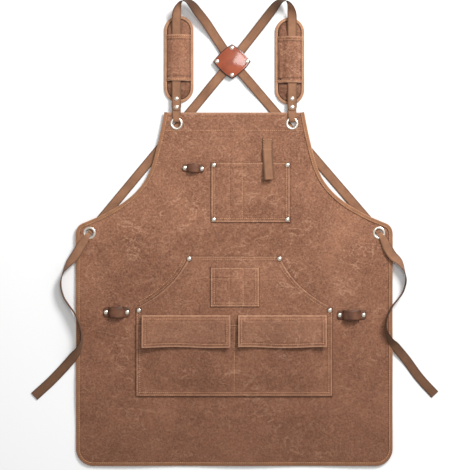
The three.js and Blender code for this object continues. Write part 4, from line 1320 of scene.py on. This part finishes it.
def make_tab():
    """A short strap sewn above the chest pocket, whose free end stands off the bib."""
    left, right, hinge_y, base_top_y = span("chest_tab_base")
    low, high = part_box("chest_tab")
    base_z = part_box("chest_tab_base")[1][2]
    middle = (left + right) / 2
    lean = (low[0] + high[0]) / 2 - middle
    free_y, free_z = low[1] - HEM, high[2] - WEBBING / 2
    down = np.linspace(0, 1, 90)
    y = base_top_y + (free_y - base_top_y) * down
    past = np.clip((hinge_y - y) / (hinge_y - free_y), 0, 1)
    z = base_z - WEBBING / 2 + 0.0020 * ease(y, hinge_y + 0.006, hinge_y)
    z = z + (free_z - base_z - 0.0012) * (0.35 * past + 0.65 * past**1.25)
    centres = np.column_stack([middle + 2 * lean * past, y, z])
    along = unit(np.gradient(centres, axis=0))
    sides = unit(np.cross(along, (0, 0, 1)))
    widths = np.full(len(down), right - left)
    piece = ribbon("tab_webbing", centres, sides, np.cross(sides, along), widths, WEBBING)
    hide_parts("chest_tab", "chest_tab_base")
    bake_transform(piece)
    x0, x1, y0, y1 = left + 0.003, right - 0.003, hinge_y + 0.004, base_top_y - 0.003
    box = [(x0, y0), (x0, y1), (x1, y1), (x1, y0), (x0, y0)]
    for start, end in zip(box, box[1:]):
        sew("apron", on(lambda x, y: np.full_like(x, base_z + 0.0002), line(*start, *end)))


# ---------------------------------------------------------------- leather

def make_tool_loops():
    """Leather strips that arch between two riveted feet."""
    for node, (foot, degrees) in TOOL_LOOPS.items():
        low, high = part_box(node)
        middle = (np.array(low) + np.array(high)) / 2
        turn = math.radians(degrees)
        half = ((high[0] - low[0]) - abs(math.sin(turn)) * TURNED_LOOP[1]) / 2
        width = (high[1] - low[1]) - abs(math.sin(turn)) * TURNED_LOOP[0]
        base, rise = low[2], high[2] - low[2] - LEATHER
        reach = half - foot
        flat = np.linspace(-half, -reach, 8)[:-1]
        arch = -reach * np.cos(np.linspace(0, math.pi, 44))
        s = np.concatenate([flat, arch, -flat[::-1]])
        under = np.where(np.abs(s) < reach, rise * np.sqrt(np.clip(1 - (s / reach) ** 2, 0, 1)), 0)
        under = under * ease(reach - np.abs(s), -0.0001, 0.004)
        middle_line = np.column_stack([s, under + LEATHER / 2])
        out = -to_right(unit(np.gradient(middle_line, axis=0)))
        across = np.linspace(-1, 1, 13)
        height = (1 - np.abs(across) ** 8) ** 0.5 * LEATHER / 2
        around = [*zip(across, height), *list(zip(across, -height))[::-1][1:-1]]
        sections, worn = [], []
        for (px, pz), (ox, oz), station in zip(middle_line, out, s):
            narrow = 1 - 0.10 * ease(abs(station), reach * 0.5, half)
            tip = math.sqrt(max(1 - max((abs(station) - half + 0.003) / 0.003, 0) ** 2, 0.35))
            sections.append([(px + ox * h, a * width / 2 * narrow * tip, pz + oz * h) for a, h in around])
            rim = (np.abs(across) > 0.93) * 0.9 + (abs(station) > half - 0.001) * 0.7
            worn += [*rim, *rim[::-1][1:-1]]
        sections = np.array(sections)
        cosine, sine = math.cos(turn), math.sin(turn)
        x = sections[..., 0] * cosine - sections[..., 1] * sine + middle[0]
        y = sections[..., 0] * sine + sections[..., 1] * cosine + middle[1] - HEM
        placed = np.stack([x, y, sections[..., 2] + base], axis=-1)
        piece = face_outwards(sweep(node + "_leather", placed, "loop_leather", worn=worn, sharp=60))
        settle(piece, "apron", "loop_leather", node)


def patch_outline(steps):
    """A square on its corner with gently bulging sides, round its own middle."""
    corners = np.array([(1, 0), (0, 1), (-1, 0), (0, -1)]) * PATCH_HALF
    points = []
    for start, end in zip(corners, np.roll(corners, -1, axis=0)):
        out = (start + end) / 2
        out = out + out / np.linalg.norm(out) * 2 * PATCH_BULGE
        points.append(quadratic(start, out, end, steps)[:-1])
    return np.vstack(points)


def make_patch():
    """Two leather leaves over the crossing of the straps."""
    outline, middle = patch_outline(16), middle_of("cross_patch_front")
    for node, name, material, dome in (
        ("cross_patch_front", "patch_front", "patch_leather", 0.0020),
        ("cross_patch_back", "patch_back", "leather_back", 0.0),
    ):
        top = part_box(node)[1][2]
        shares = np.concatenate([np.linspace(0, 0.90, 22)[1:], [0.94, 0.965, 0.985, 1.0]])
        rings, worn = [], []
        for share in shares:
            ring = outline * share
            away = np.linalg.norm(ring / np.array(PATCH_HALF), axis=1)
            rise = dome * (1 - np.clip(away, 0, 1) ** 2)
            lip = -0.0006 * ease(share, 0.955, 1.0)
            crease = -0.00025 * bump(share, 0.90, 0.012) if dome else 0
            rings.append(np.column_stack([ring + middle, top + rise + lip + crease]))
            worn.append(np.full(len(ring), ease(share, 0.925, 0.970)))
        count = len(outline)
        depths = LEATHER - 0.0009 * ease(shares, 0.955, 1.0)
        under = [ring - (0, 0, depth) for ring, depth in zip(rings, depths)]
        crown = np.array([[*middle, top + dome]])
        points = [crown, *rings, *under[::-1], crown - (0, 0, LEATHER)]
        faces = [[0, 1 + i, 1 + (i + 1) % count] for i in range(count)]
        levels = 2 * len(rings)
        for level in range(levels - 1):
            first = 1 + level * count
            faces += [
                [first + i, first + count + i, first + count + (i + 1) % count, first + (i + 1) % count]
                for i in range(count)
            ]
        last, first = 1 + levels * count, 1 + (levels - 1) * count
        faces += [[last, first + (i + 1) % count, first + i] for i in range(count)]
        wear_and_shade = np.concatenate([[0], *worn, *worn[::-1], [0]])
        piece = make_piece(name, place(np.vstack(points)), faces, material, worn=wear_and_shade, sharp=50)
        face_outwards(piece)
        settle(piece, "cross_patch", "patch_leather" if dome else "loop_leather", node)


# ---------------------------------------------------------------- shoulder pads

def stadium(centre, half, length, count):
    """A strip with round ends, as evenly spaced points that run the same way round."""
    reach = length / 2 - half
    top = arc((centre[0], centre[1] + reach), half, 0, 180, 40)
    foot = arc((centre[0], centre[1] - reach), half, 180, 360, 40)
    loop = np.vstack([top, foot, top[:1]])
    return even_steps(loop, np.linalg.norm(np.diff(loop, axis=0), axis=1).sum() / count)[:-1]


PAD_POINTS = 112
PAD_INSETS = np.concatenate([[0.0, 0.002, 0.0045, 0.0075], np.linspace(0.0105, 0.0295, 8)])


def pad_shell(node, name, thickness):
    """A closed lens over a pad's outline, its rings counted in from the edge, upper side first."""
    left, right, low, high = span(node)
    centre, half, length = ((left + right) / 2, (low + high) / 2), (right - left) / 2, high - low
    rings = [stadium(centre, half - by, length - 2 * by, PAD_POINTS) for by in PAD_INSETS]
    swell = thickness / 2 * np.sqrt(ease(PAD_INSETS, 0.0, 0.02)) + 0.0004
    points = [np.column_stack([rings[0], np.zeros(PAD_POINTS)])]
    for sign in (1, -1):
        for ring, height in zip(rings[1:], swell[1:]):
            points.append(np.column_stack([ring, np.full(PAD_POINTS, sign * height)]))
    points = np.vstack(points)
    count, levels = PAD_POINTS, len(rings)
    faces = []

    def band(outer, inner, flip):
        for i in range(count):
            j = (i + 1) % count
            face = [outer + i, outer + j, inner + j, inner + i]
            faces.append(face[::-1] if flip else face)

    for level in range(levels - 1):
        band(level * count, (level + 1) * count, False)
    lower_first = levels * count
    band(0, lower_first, True)
    for level in range(levels - 2):
        band(lower_first + level * count, lower_first + (level + 1) * count, True)
    for first, flip in (((levels - 1) * count, False), (lower_first + (levels - 2) * count, True)):
        for i in range(count // 2 - 1):
            a, b = first + i, first + i + 1
            c, d = first + (count - 2 - i) % count, first + (count - 1 - i) % count
            faces.append([a, b, c, d][::-1] if flip else [a, b, c, d])
    return make_piece(name, place(points), faces, "canvas")


def puff(piece, pressure, reach):
    """Fills the shell as cloth, and lets no point move further than reach."""
    scene, last_frame = bpy.context.scene, 20
    before = np.array([v.co for v in piece.data.vertices])
    filled = piece.modifiers.new("filling", "CLOTH")
    filled.settings.use_pressure = True
    filled.settings.uniform_pressure_force = pressure
    filled.settings.quality = 6
    filled.settings.mass = 0.25
    filled.settings.tension_stiffness = 20
    filled.settings.bending_stiffness = 0.3
    filled.settings.effector_weights.gravity = 0
    filled.point_cache.frame_start, filled.point_cache.frame_end = 1, last_frame
    for number in range(1, last_frame + 1):
        scene.frame_set(number)
    baked(piece)
    scene.frame_set(1)
    after = np.array([v.co for v in piece.data.vertices])
    moved = after - before
    far = np.linalg.norm(moved, axis=1)[:, None]
    return before + moved * np.minimum(1, reach / np.maximum(far, 1e-9))


def make_pad(word):
    """A shoulder pad: filled cloth, sewn flat at its edge and pressed down where the strap and sleeve lie."""
    node = "shoulder_pad_" + word
    body = "pad_" + word
    piece = pad_shell(node + "_binding", "pad_" + word + "_cushion", 0.0045)
    points = np.array([v.co for v in piece.data.vertices])
    points = puff(piece, bpy.context.scene.apron_sizes.pad_pressure, 0.005)
    left, right, low, high = edges = span(node + "_binding")
    x, y, z = points[:, 0], points[:, 1] - HEM, points[:, 2]
    over, under = z / z.max() * (PAD_CROWN_Z - PAD_SEAM_Z), z / -z.min() * (PAD_SEAM_Z - 0.0004)
    z = np.where(z >= 0, over, under)
    pinch = ease(edge_distance(x, y, *edges), 0.0030, 0.0105)
    z = z * pinch + 0.0005 * np.sign(z) * (1 - pinch)
    strap_x = (1 if word == "right" else -1) * BIB_GROMMET_X
    ends = np.maximum(ease(y, low + 0.046, low + 0.02), ease(y, high - 0.046, high - 0.02))
    puckers = 0.0011 * ends * pinch * np.sin((x - strap_x) * 260 + 2.2 * np.sin(y * 170)) * (z > 0.001)
    pressed = 1 - 0.16 * ends * bump(x, strap_x, 0.013)
    tapered = 0.42 + 0.58 * ease(np.minimum(y - low, high - y), 0.006, 0.034)
    z = np.where(z > 0, z * pressed * tapered, z) + puckers * tapered
    placed = np.column_stack([x, y + HEM, np.minimum(z + PAD_SEAM_Z, PAD_CROWN_Z + 0.0002)])
    piece.data.vertices.foreach_set("co", placed.astype(np.float32).ravel())
    smooth = piece.modifiers.new("smooth", "SUBSURF")
    smooth.levels = smooth.render_levels = 2
    baked(piece)
    piece.data.shade_smooth()
    shade_pad(piece, edges, span(node + "_sleeve"))
    settle(piece, body, "canvas", node)
    loop = stadium(((left + right) / 2, (low + high) / 2), (right - left) / 2, high - low, 220)[::-1]
    under = np.full(len(loop), PAD_TAPE_Z[0])
    top = PAD_TAPE_Z[1] + 0.00016 * np.sin(np.arange(len(loop)) * 1.7)
    # The pads' tape is painted pale all over: a painted highlight on the raised binding.
    bind(
        node + "_tape", loop, body, node + "_binding", under, top, PAD_TAPE_WIDTH, PAD_TAPE,
        closed=True, pale=0.55,
    )
    return piece


def shade_pad(piece, edges, sleeve):
    """Paints shade on the pad: dark in the groove along its binding and under the sleeve's open ends, and a
    little darker on its ends outside the sleeve.
    """
    left, right, _, _ = edges
    _, _, mouth, far_end = sleeve
    points = np.empty(len(piece.data.vertices) * 3, np.float32)
    piece.data.vertices.foreach_get("co", points)
    x, y = points[0::3], points[1::3] - HEM
    groove = 0.85 * bump(edge_distance(x, y, *edges), 0.0068, 0.0022)
    under = np.abs(x - (left + right) / 2) < SLEEVE_HALF
    mouths = 0.9 * under * (ease(y, mouth - 0.0085, mouth - 0.002) * (y < mouth + 0.01))
    ends = 0.22 * ((y < mouth) | (y > far_end))
    dark = np.minimum.reduce((-groove, -mouths, -ends))
    attribute = piece.data.attributes.new("worn", "FLOAT", "POINT")
    attribute.data.foreach_set("value", dark.astype(np.float32))


def edge_distance(x, y, left, right, low, high):
    """How far points lie inside a strip with round ends."""
    half = (right - left) / 2
    middle = (left + right) / 2
    past = np.maximum(np.maximum(low + half - y, y - (high - half)), 0)
    return half - np.hypot(x - middle, past)


def sleeve_top(word):
    """The sleeve lies on its pad, over the strap, and is caught into the seam at its sides."""
    left, right, low, high = span("shoulder_pad_" + word + "_sleeve")
    middle = (left + right) / 2
    strap_x = (1 if word == "right" else -1) * BIB_GROMMET_X
    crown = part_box("shoulder_pad_" + word + "_sleeve")[1][2]

    def surface(x, y):
        side = 1 - np.abs(x - middle) / SLEEVE_HALF
        shoulder = SLEEVE_SEAM_Z + (SLEEVE_TOP_Z - SLEEVE_SEAM_Z) * np.sqrt(ease(side, 0.0, 0.85))
        ridge = (crown - 0.0100) * ease(np.abs(x - strap_x), 0.0205, 0.0085)
        mouth = 0.0013 * ease(y, low + 0.02, low) * ease(side, 0.1, 0.6)
        hems = turned_hem(y - low, 0.006) + turned_hem(high - y, 0.008)
        rows = -0.0003 * (bump(high - y, ROW_NEAR, 0.001) + bump(high - y, SLEEVE_ROW, 0.001))
        pressed = np.minimum(shoulder + ridge + mouth, crown + 0.0008)
        return pressed + hems + rows + ripple(x * 3, y * 3, 0.00025)

    return surface, (middle - SLEEVE_HALF, middle + SLEEVE_HALF, low, high)


def make_sleeve(word):
    """The sleeve on a shoulder pad, with a hem at each open end."""
    surface, (left, right, low, high) = sleeve_top(word)
    x, y = rectangle_grid(left, right, low, high, 0.0011)
    ends = np.minimum(y - low, high - y)
    sides = np.minimum(x - left, right - x)
    # Pale along the hems' folds, with painted shade in a line just inside each hem and along the sides, where
    # the sleeve meets the pad.
    wear_and_shade = 0.8 * bump(ends, 0, 0.0014) - 0.5 * bump(ends, 0.0100, 0.0016) - 0.6 * bump(sides, 0, 0.0022)
    piece = cloth("pad_sleeve_" + word, x, y, surface(x, y), worn=wear_and_shade, thickness=0.001)
    body = "pad_" + word
    settle(piece, body, "canvas", "shoulder_pad_" + word + "_sleeve")
    for row_y in (high - ROW_NEAR, high - SLEEVE_ROW, low + 0.0035):
        sew(body, on(surface, line(left + 0.001, row_y, right - 0.001, row_y, 0.003)))
    return piece, (right - left, high - low)


# ---------------------------------------------------------------- metal

def make_grommets():
    """Spun eyelets with rolled flanges in front, and flat washers behind."""
    for name in [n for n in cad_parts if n.endswith("_eyelet")]:
        low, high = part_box(name)
        centre = (*((np.array(low) + np.array(high)) / 2)[:2], 0)
        flange, hole, seat = (high[0] - low[0]) / 2, GROMMET_HOLE, high[2] - FLANGE_HEIGHT
        barrel = hole + GROMMET_BARREL
        roll = arc(((flange + hole) / 2, seat), (flange - hole) / 2, 0, 180, 14)
        roll[:, 1] = seat + (roll[:, 1] - seat) * FLANGE_ROLL / ((flange - hole) / 2) + 0.0001
        profile = [(barrel, low[2]), (barrel, seat), (flange, seat), *roll[1:-1], (hole, seat), (hole, low[2])]
        settle(lathe(name + "_spun", profile, 64, centre, "nickel"), "apron", "nickel", name)
        washer = name.replace("eyelet", "washer")
        foot, head = (corner[2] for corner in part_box(washer))
        inner, outer = barrel + GAP, flange - 0.0003
        ring = [(inner, foot), (outer, foot), (flange, (foot + head) / 2), (outer, head), (inner, head)]
        settle(lathe(washer + "_spun", ring, 64, centre, "nickel"), "apron", "nickel", washer)


def tree_node(tree, kind, settings=(), sockets=()):
    """A node of a geometry tree; sockets are values or other nodes' outputs."""
    made = tree.nodes.new(kind)
    for setting, value in dict(settings).items():
        setattr(made, setting, value)
    for socket, value in dict(sockets).items():
        target = made.inputs[socket]
        if isinstance(value, bpy.types.NodeSocket):
            tree.links.new(value, target)
        else:
            target.default_value = value
    return made


def geometry_tree(name, sizes):
    """A tree with one geometry in and out, and named lengths to set."""
    tree = bpy.data.node_groups.new(name, "GeometryNodeTree")
    tree.interface.new_socket("Geometry", in_out="INPUT", socket_type="NodeSocketGeometry")
    for size in sizes:
        tree.interface.new_socket(size, in_out="INPUT", socket_type="NodeSocketFloat")
    tree.interface.new_socket("Geometry", in_out="OUTPUT", socket_type="NodeSocketGeometry")
    return tree, tree.nodes.new("NodeGroupInput"), tree.nodes.new("NodeGroupOutput")


def end_tree(tree, leave, shape, material):
    """Makes a tree's copies real, smooth and of one material, and hands them out."""
    real = tree_node(tree, "GeometryNodeRealizeInstances", {}, {"Geometry": shape})
    smooth = tree_node(tree, "GeometryNodeSetShadeSmooth", {}, {0: real.outputs[0]})
    dressed = tree_node(
        tree, "GeometryNodeSetMaterial", {}, {"Geometry": smooth.outputs[0], "Material": material}
    )
    tree.links.new(dressed.outputs[0], leave.inputs["Geometry"])
    return tree


def grow(piece, tree, sizes):
    """Runs a geometry tree on a piece and keeps what it makes."""
    made = piece.modifiers.new(tree.name, "NODES")
    made.node_group = tree
    for socket in tree.interface.items_tree:
        if socket.in_out == "INPUT" and socket.name in sizes:
            made[socket.identifier] = sizes[socket.name]
    return baked(piece)


def rivet_tree(sides, material):
    """On each point a back disc, a shank as long as its reach, and a domed cap on top."""
    tree, entry, leave = geometry_tree("rivets", RIVET_SIZES)
    size = entry.outputs
    reach = tree_node(tree, "GeometryNodeInputNamedAttribute", {"data_type": "FLOAT"}, {"Name": "reach"})
    reach_out = reach.outputs["Attribute"]
    points = tree_node(tree, "GeometryNodeMeshToPoints", {}, {"Mesh": size["Geometry"], "Radius": 0.001})
    lift = tree_node(tree, "ShaderNodeCombineXYZ", {}, {"Z": reach_out})
    raised = tree_node(
        tree, "GeometryNodeSetPosition", {}, {"Geometry": points.outputs[0], "Offset": lift.outputs[0]}
    )
    dome = tree_node(tree, "GeometryNodeMeshUVSphere", {}, {"Segments": sides, "Rings": 14, "Radius": 1.0})
    dome_size = tree_node(
        tree, "ShaderNodeCombineXYZ", {},
        {"X": size["Cap radius"], "Y": size["Cap radius"], "Z": size["Cap height"]},
    )
    cap = tree_node(
        tree, "GeometryNodeTransform", {}, {"Geometry": dome.outputs[0], "Scale": dome_size.outputs[0]}
    )
    disc = tree_node(
        tree, "GeometryNodeMeshCylinder", {"fill_type": "NGON"},
        {"Vertices": sides, "Radius": size["Back radius"], "Depth": size["Back height"]},
    )
    half_height = tree_node(
        tree, "ShaderNodeMath", {"operation": "MULTIPLY"}, {0: size["Back height"], 1: 0.5}
    )
    disc_lift = tree_node(tree, "ShaderNodeCombineXYZ", {}, {"Z": half_height.outputs[0]})
    back = tree_node(
        tree, "GeometryNodeTransform", {}, {"Geometry": disc.outputs[0], "Translation": disc_lift.outputs[0]}
    )
    rod = tree_node(
        tree, "GeometryNodeMeshCylinder", {"fill_type": "NGON"},
        {"Vertices": 12, "Radius": size["Shank radius"], "Depth": 1.0},
    )
    standing = tree_node(
        tree, "GeometryNodeTransform", {}, {"Geometry": rod.outputs[0], "Translation": (0, 0, 0.5)}
    )
    tall = tree_node(tree, "ShaderNodeCombineXYZ", {}, {"X": 1.0, "Y": 1.0, "Z": reach_out})
    joined = tree.nodes.new("GeometryNodeJoinGeometry")
    for at, what, scale in (
        (raised.outputs[0], cap, None), (points.outputs[0], back, None), (points.outputs[0], standing, tall),
    ):
        sockets = {"Points": at, "Instance": what.outputs[0]}
        if scale:
            sockets["Scale"] = scale.outputs[0]
        copies = tree_node(tree, "GeometryNodeInstanceOnPoints", {}, sockets)
        tree.links.new(copies.outputs[0], joined.inputs[0])
    return end_tree(tree, leave, joined.outputs[0], material)


def make_rivets():
    """Every rivet of a body in one piece, each set between its own back and cap heights."""
    tree = rivet_tree(bpy.context.scene.apron_sizes.rivet_sides, finish("nickel"))
    rivets = [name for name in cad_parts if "_rivet_" in name]
    for body in ("apron", "cross_patch"):
        names = [name for name in rivets if name.startswith("cross_patch") == (body == "cross_patch")]
        points, reaches = [], []
        for name in names:
            low, high = np.array(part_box(name))
            points.append((*((low + high) / 2)[:2], low[2]))
            reaches.append(high[2] - RIVET_SIZES["Cap height"] - low[2])
        mesh = bpy.data.meshes.new("rivets_" + body)
        mesh.from_pydata(points, [], [])
        mesh.attributes.new("reach", "FLOAT", "POINT").data.foreach_set("value", reaches)
        settle(grow(linked(mesh.name, mesh), tree, RIVET_SIZES), body, "nickel", *names)


# ---------------------------------------------------------------- thread

def stitch_tree(material):
    """Short rounded stitches laid end to end along every row, each a little off true."""
    tree, entry, leave = geometry_tree("stitches", ("Length", "Pitch", "Thickness"))
    size = entry.outputs
    rows = tree_node(tree, "GeometryNodeMeshToCurve", {}, {"Mesh": size["Geometry"]})
    spaced = tree_node(
        tree, "GeometryNodeResampleCurve", {"mode": "LENGTH"},
        {"Curve": rows.outputs[0], "Length": size["Pitch"]},
    )
    tangent = tree.nodes.new("GeometryNodeInputTangent")
    aligned = tree_node(
        tree, "FunctionNodeAlignRotationToVector", {"axis": "X"}, {"Vector": tangent.outputs[0]}
    )
    loose = tree_node(
        tree, "FunctionNodeRandomValue", {"data_type": "FLOAT_VECTOR"},
        {"Min": (0.0, -0.05, -0.07), "Max": (0.0, 0.05, 0.07), "Seed": 3},
    )
    turned = tree_node(
        tree, "FunctionNodeRotateRotation", {"rotation_space": "LOCAL"},
        {"Rotation": aligned.outputs[0], "Rotate By": loose.outputs[0]},
    )
    bead = tree_node(tree, "GeometryNodeMeshUVSphere", {}, {"Segments": 6, "Rings": 5, "Radius": 0.5})
    upright = tree_node(
        tree, "GeometryNodeTransform", {}, {"Geometry": bead.outputs[0], "Rotation": (0, math.pi / 2, 0)}
    )
    shape = tree_node(
        tree, "ShaderNodeCombineXYZ", {}, {"X": size["Length"], "Y": size["Thickness"], "Z": size["Thickness"]}
    )
    copies = tree_node(
        tree, "GeometryNodeInstanceOnPoints", {},
        {"Points": spaced.outputs[0], "Instance": upright.outputs[0], "Rotation": turned.outputs[0],
         "Scale": shape.outputs[0]},
    )
    return end_tree(tree, leave, copies.outputs[0], material)


def make_stitches():
    """Sews every row that the pieces have asked for, one piece of thread for each body."""
    sizes = bpy.context.scene.apron_sizes
    values = {"Length": sizes.stitch_length, "Pitch": sizes.stitch_pitch, "Thickness": sizes.thread}
    tree = stitch_tree(finish("thread"))
    for body, rows in stitch_rows.items():
        points, edges = [], []
        for row in rows:
            first = len(points)
            points += [tuple(p) for p in row]
            edges += [(first + i, first + i + 1) for i in range(len(row) - 1)]
        mesh = bpy.data.meshes.new("thread_" + body)
        mesh.from_pydata(points, edges, [])
        settle(grow(linked(mesh.name, mesh), tree, values), body, "canvas")


# ---------------------------------------------------------------- stage

CAMERA_HEIGHT = 3.2
VIEW_WIDTH = 1.0105
VIEW_CENTRE = (0.0015, -0.0055)
BENCH_HALF = 6.0
BENCH_Z = -0.0004
DAYLIGHT = 0.50
LAMPS = (  # name, place, size, power
    ("key", (1.35, 1.75, 1.9), 0.9, 84.0),
    ("gloss", (0.34, 0.80, 3.0), 0.48, 11.0),
)


def make_stage():
    """The camera straight above, a pale bench, even daylight and two soft lamps aimed at the apron."""
    scene = bpy.context.scene
    scene.view_settings.view_transform = "Standard"
    camera = bpy.data.objects.new("camera", bpy.data.cameras.new("camera"))
    camera.location = (*VIEW_CENTRE, CAMERA_HEIGHT)
    camera.data.lens = camera.data.sensor_width * CAMERA_HEIGHT / VIEW_WIDTH
    camera.data.clip_end = 30
    scene.collection.objects.link(camera)
    scene.camera = camera
    corners = [(x * BENCH_HALF, y * BENCH_HALF, BENCH_Z) for x, y in ((-1, -1), (1, -1), (1, 1), (-1, 1))]
    make_piece("bench_top", corners, [(0, 1, 2, 3)], "bench")
    world = bpy.data.worlds.new("studio")
    world.use_nodes = True
    background = world.node_tree.nodes["Background"].inputs
    background["Color"].default_value = (1, 1, 1, 1)
    background["Strength"].default_value = DAYLIGHT
    scene.world = world
    for name, spot, size, power in LAMPS:
        light = bpy.data.lights.new(name, "AREA")
        light.shape, light.size, light.energy = "SQUARE", size, power
        lamp = bpy.data.objects.new(name, light)
        lamp.location = spot
        towards = -np.array(spot)
        lamp.rotation_euler = (
            math.atan2(math.hypot(towards[0], towards[1]), -towards[2]), 0,
            math.atan2(towards[1], towards[0]) - math.pi / 2,
        )
        scene.collection.objects.link(lamp)


# ---------------------------------------------------------------- operators

class APRON_OT_stage(bpy.types.Operator):
    """Sets the camera, the lights and the pale bench"""

    bl_idname = "apron.stage"
    bl_label = "Stage"

    def execute(self, context):
        make_stage()
        return {"FINISHED"}


class APRON_OT_ties(bpy.types.Operator):
    """Lays the two free ties that come out of the side grommets"""

    bl_idname = "apron.ties"
    bl_label = "Side ties"

    def execute(self, context):
        make_ties()
        return {"FINISHED"}


class APRON_OT_body(bpy.types.Operator):
    """Cuts the body panel and its facing, and binds its edges"""

    bl_idname = "apron.body"
    bl_label = "Body and binding"

    def execute(self, context):
        panel, facing, area = make_panel()
        tapes = make_bindings()
        return {"FINISHED"}


class APRON_OT_pockets(bpy.types.Operator):
    """Sews on the pouch, the lower pockets, the pen pocket and the chest pocket"""

    bl_idname = "apron.pockets"
    bl_label = "Pockets"

    def execute(self, context):
        pouch = make_pouch()
        lower = make_lower_pockets()
        pen = make_divided_pocket("pen_pocket", "pen_pocket_panel", PEN_TOP, "pen", 0.025)
        chest = make_divided_pocket("chest_pocket", "chest_pocket_panel", CHEST_TOP, "chest", 0)
        for piece, node, under in (
            (pouch, "pouch_panel", "apron_body"),
            (lower, "lower_pocket_panel", "pouch"),
            (pen, "pen_pocket_panel", "pouch"),
            (chest, "chest_pocket_panel", "apron_body"),
        ):
            left, right, low, high = span(node)
        return {"FINISHED"}


class APRON_OT_flaps(bpy.types.Operator):
    """Sews on the two pocket flaps, sewn at their roots and free below"""

    bl_idname = "apron.flaps"
    bl_label = "Pocket flaps"

    def execute(self, context):
        for word, side in (("left", -1), ("right", 1)):
            flap, flat = make_flap(word, side)
        return {"FINISHED"}


class APRON_OT_harness(bpy.types.Operator):
    """Lays the crossed straps, the loops that hold them to the bib, and the chest tab"""

    bl_idname = "apron.harness"
    bl_label = "Straps, loops and tab"

    def execute(self, context):
        make_harness_straps()
        make_bib_loops()
        make_tab()
        return {"FINISHED"}


class APRON_OT_pads(bpy.types.Operator):
    """Fills and binds the shoulder pads, and sews their sleeves"""

    bl_idname = "apron.pads"
    bl_label = "Shoulder pads"

    def execute(self, context):
        for word in ("left", "right"):
            cushion = make_pad(word)
            sleeve, flat = make_sleeve(word)
        return {"FINISHED"}


class APRON_OT_leather(bpy.types.Operator):
    """Makes the cross patch and the tool loops"""

    bl_idname = "apron.leather"
    bl_label = "Patch and tool loops"

    def execute(self, context):
        make_patch()
        make_tool_loops()
        return {"FINISHED"}


class APRON_OT_metal(bpy.types.Operator):
    """Sets the rivets and grommets"""

    bl_idname = "apron.metal"
    bl_label = "Rivets and grommets"

    def execute(self, context):
        make_grommets()
        make_rivets()
        return {"FINISHED"}


class APRON_OT_thread(bpy.types.Operator):
    """Runs the stitches along every seam"""

    bl_idname = "apron.thread"
    bl_label = "Stitching"

    def execute(self, context):
        make_stitches()
        return {"FINISHED"}


OPERATORS = (
    APRON_OT_stage,
    APRON_OT_ties,
    APRON_OT_harness,
    APRON_OT_body,
    APRON_OT_pockets,
    APRON_OT_flaps,
    APRON_OT_pads,
    APRON_OT_leather,
    APRON_OT_metal,
    APRON_OT_thread,
)


class APRON_PT_panel(bpy.types.Panel):
    """Steps and settings of the apron, in the sidebar"""

    bl_idname = "APRON_PT_panel"
    bl_label = "Canvas Work Apron"
    bl_space_type = "VIEW_3D"
    bl_region_type = "UI"
    bl_category = "Apron"

    def draw(self, context):
        for operator in OPERATORS:
            self.layout.operator(operator.bl_idname)
        for settings in (context.scene.apron_sizes, context.scene.apron_colours):
            for name in settings.__annotations__:
                self.layout.prop(settings, name)


CLASSES = (ApronSizes, ApronColours, *OPERATORS, APRON_PT_panel)


def register():
    for part in CLASSES:
        bpy.utils.register_class(part)
    bpy.types.Scene.apron_sizes = PointerProperty(type=ApronSizes)
    bpy.types.Scene.apron_colours = PointerProperty(type=ApronColours)


def unregister():
    del bpy.types.Scene.apron_colours
    del bpy.types.Scene.apron_sizes
    for part in reversed(CLASSES):
        bpy.utils.unregister_class(part)


def main():
    """Makes every piece in order."""
    register()
    for operator in OPERATORS:
        getattr(bpy.ops.apron, operator.bl_idname.split(".")[1])()


if __name__ == "__main__":
    main()
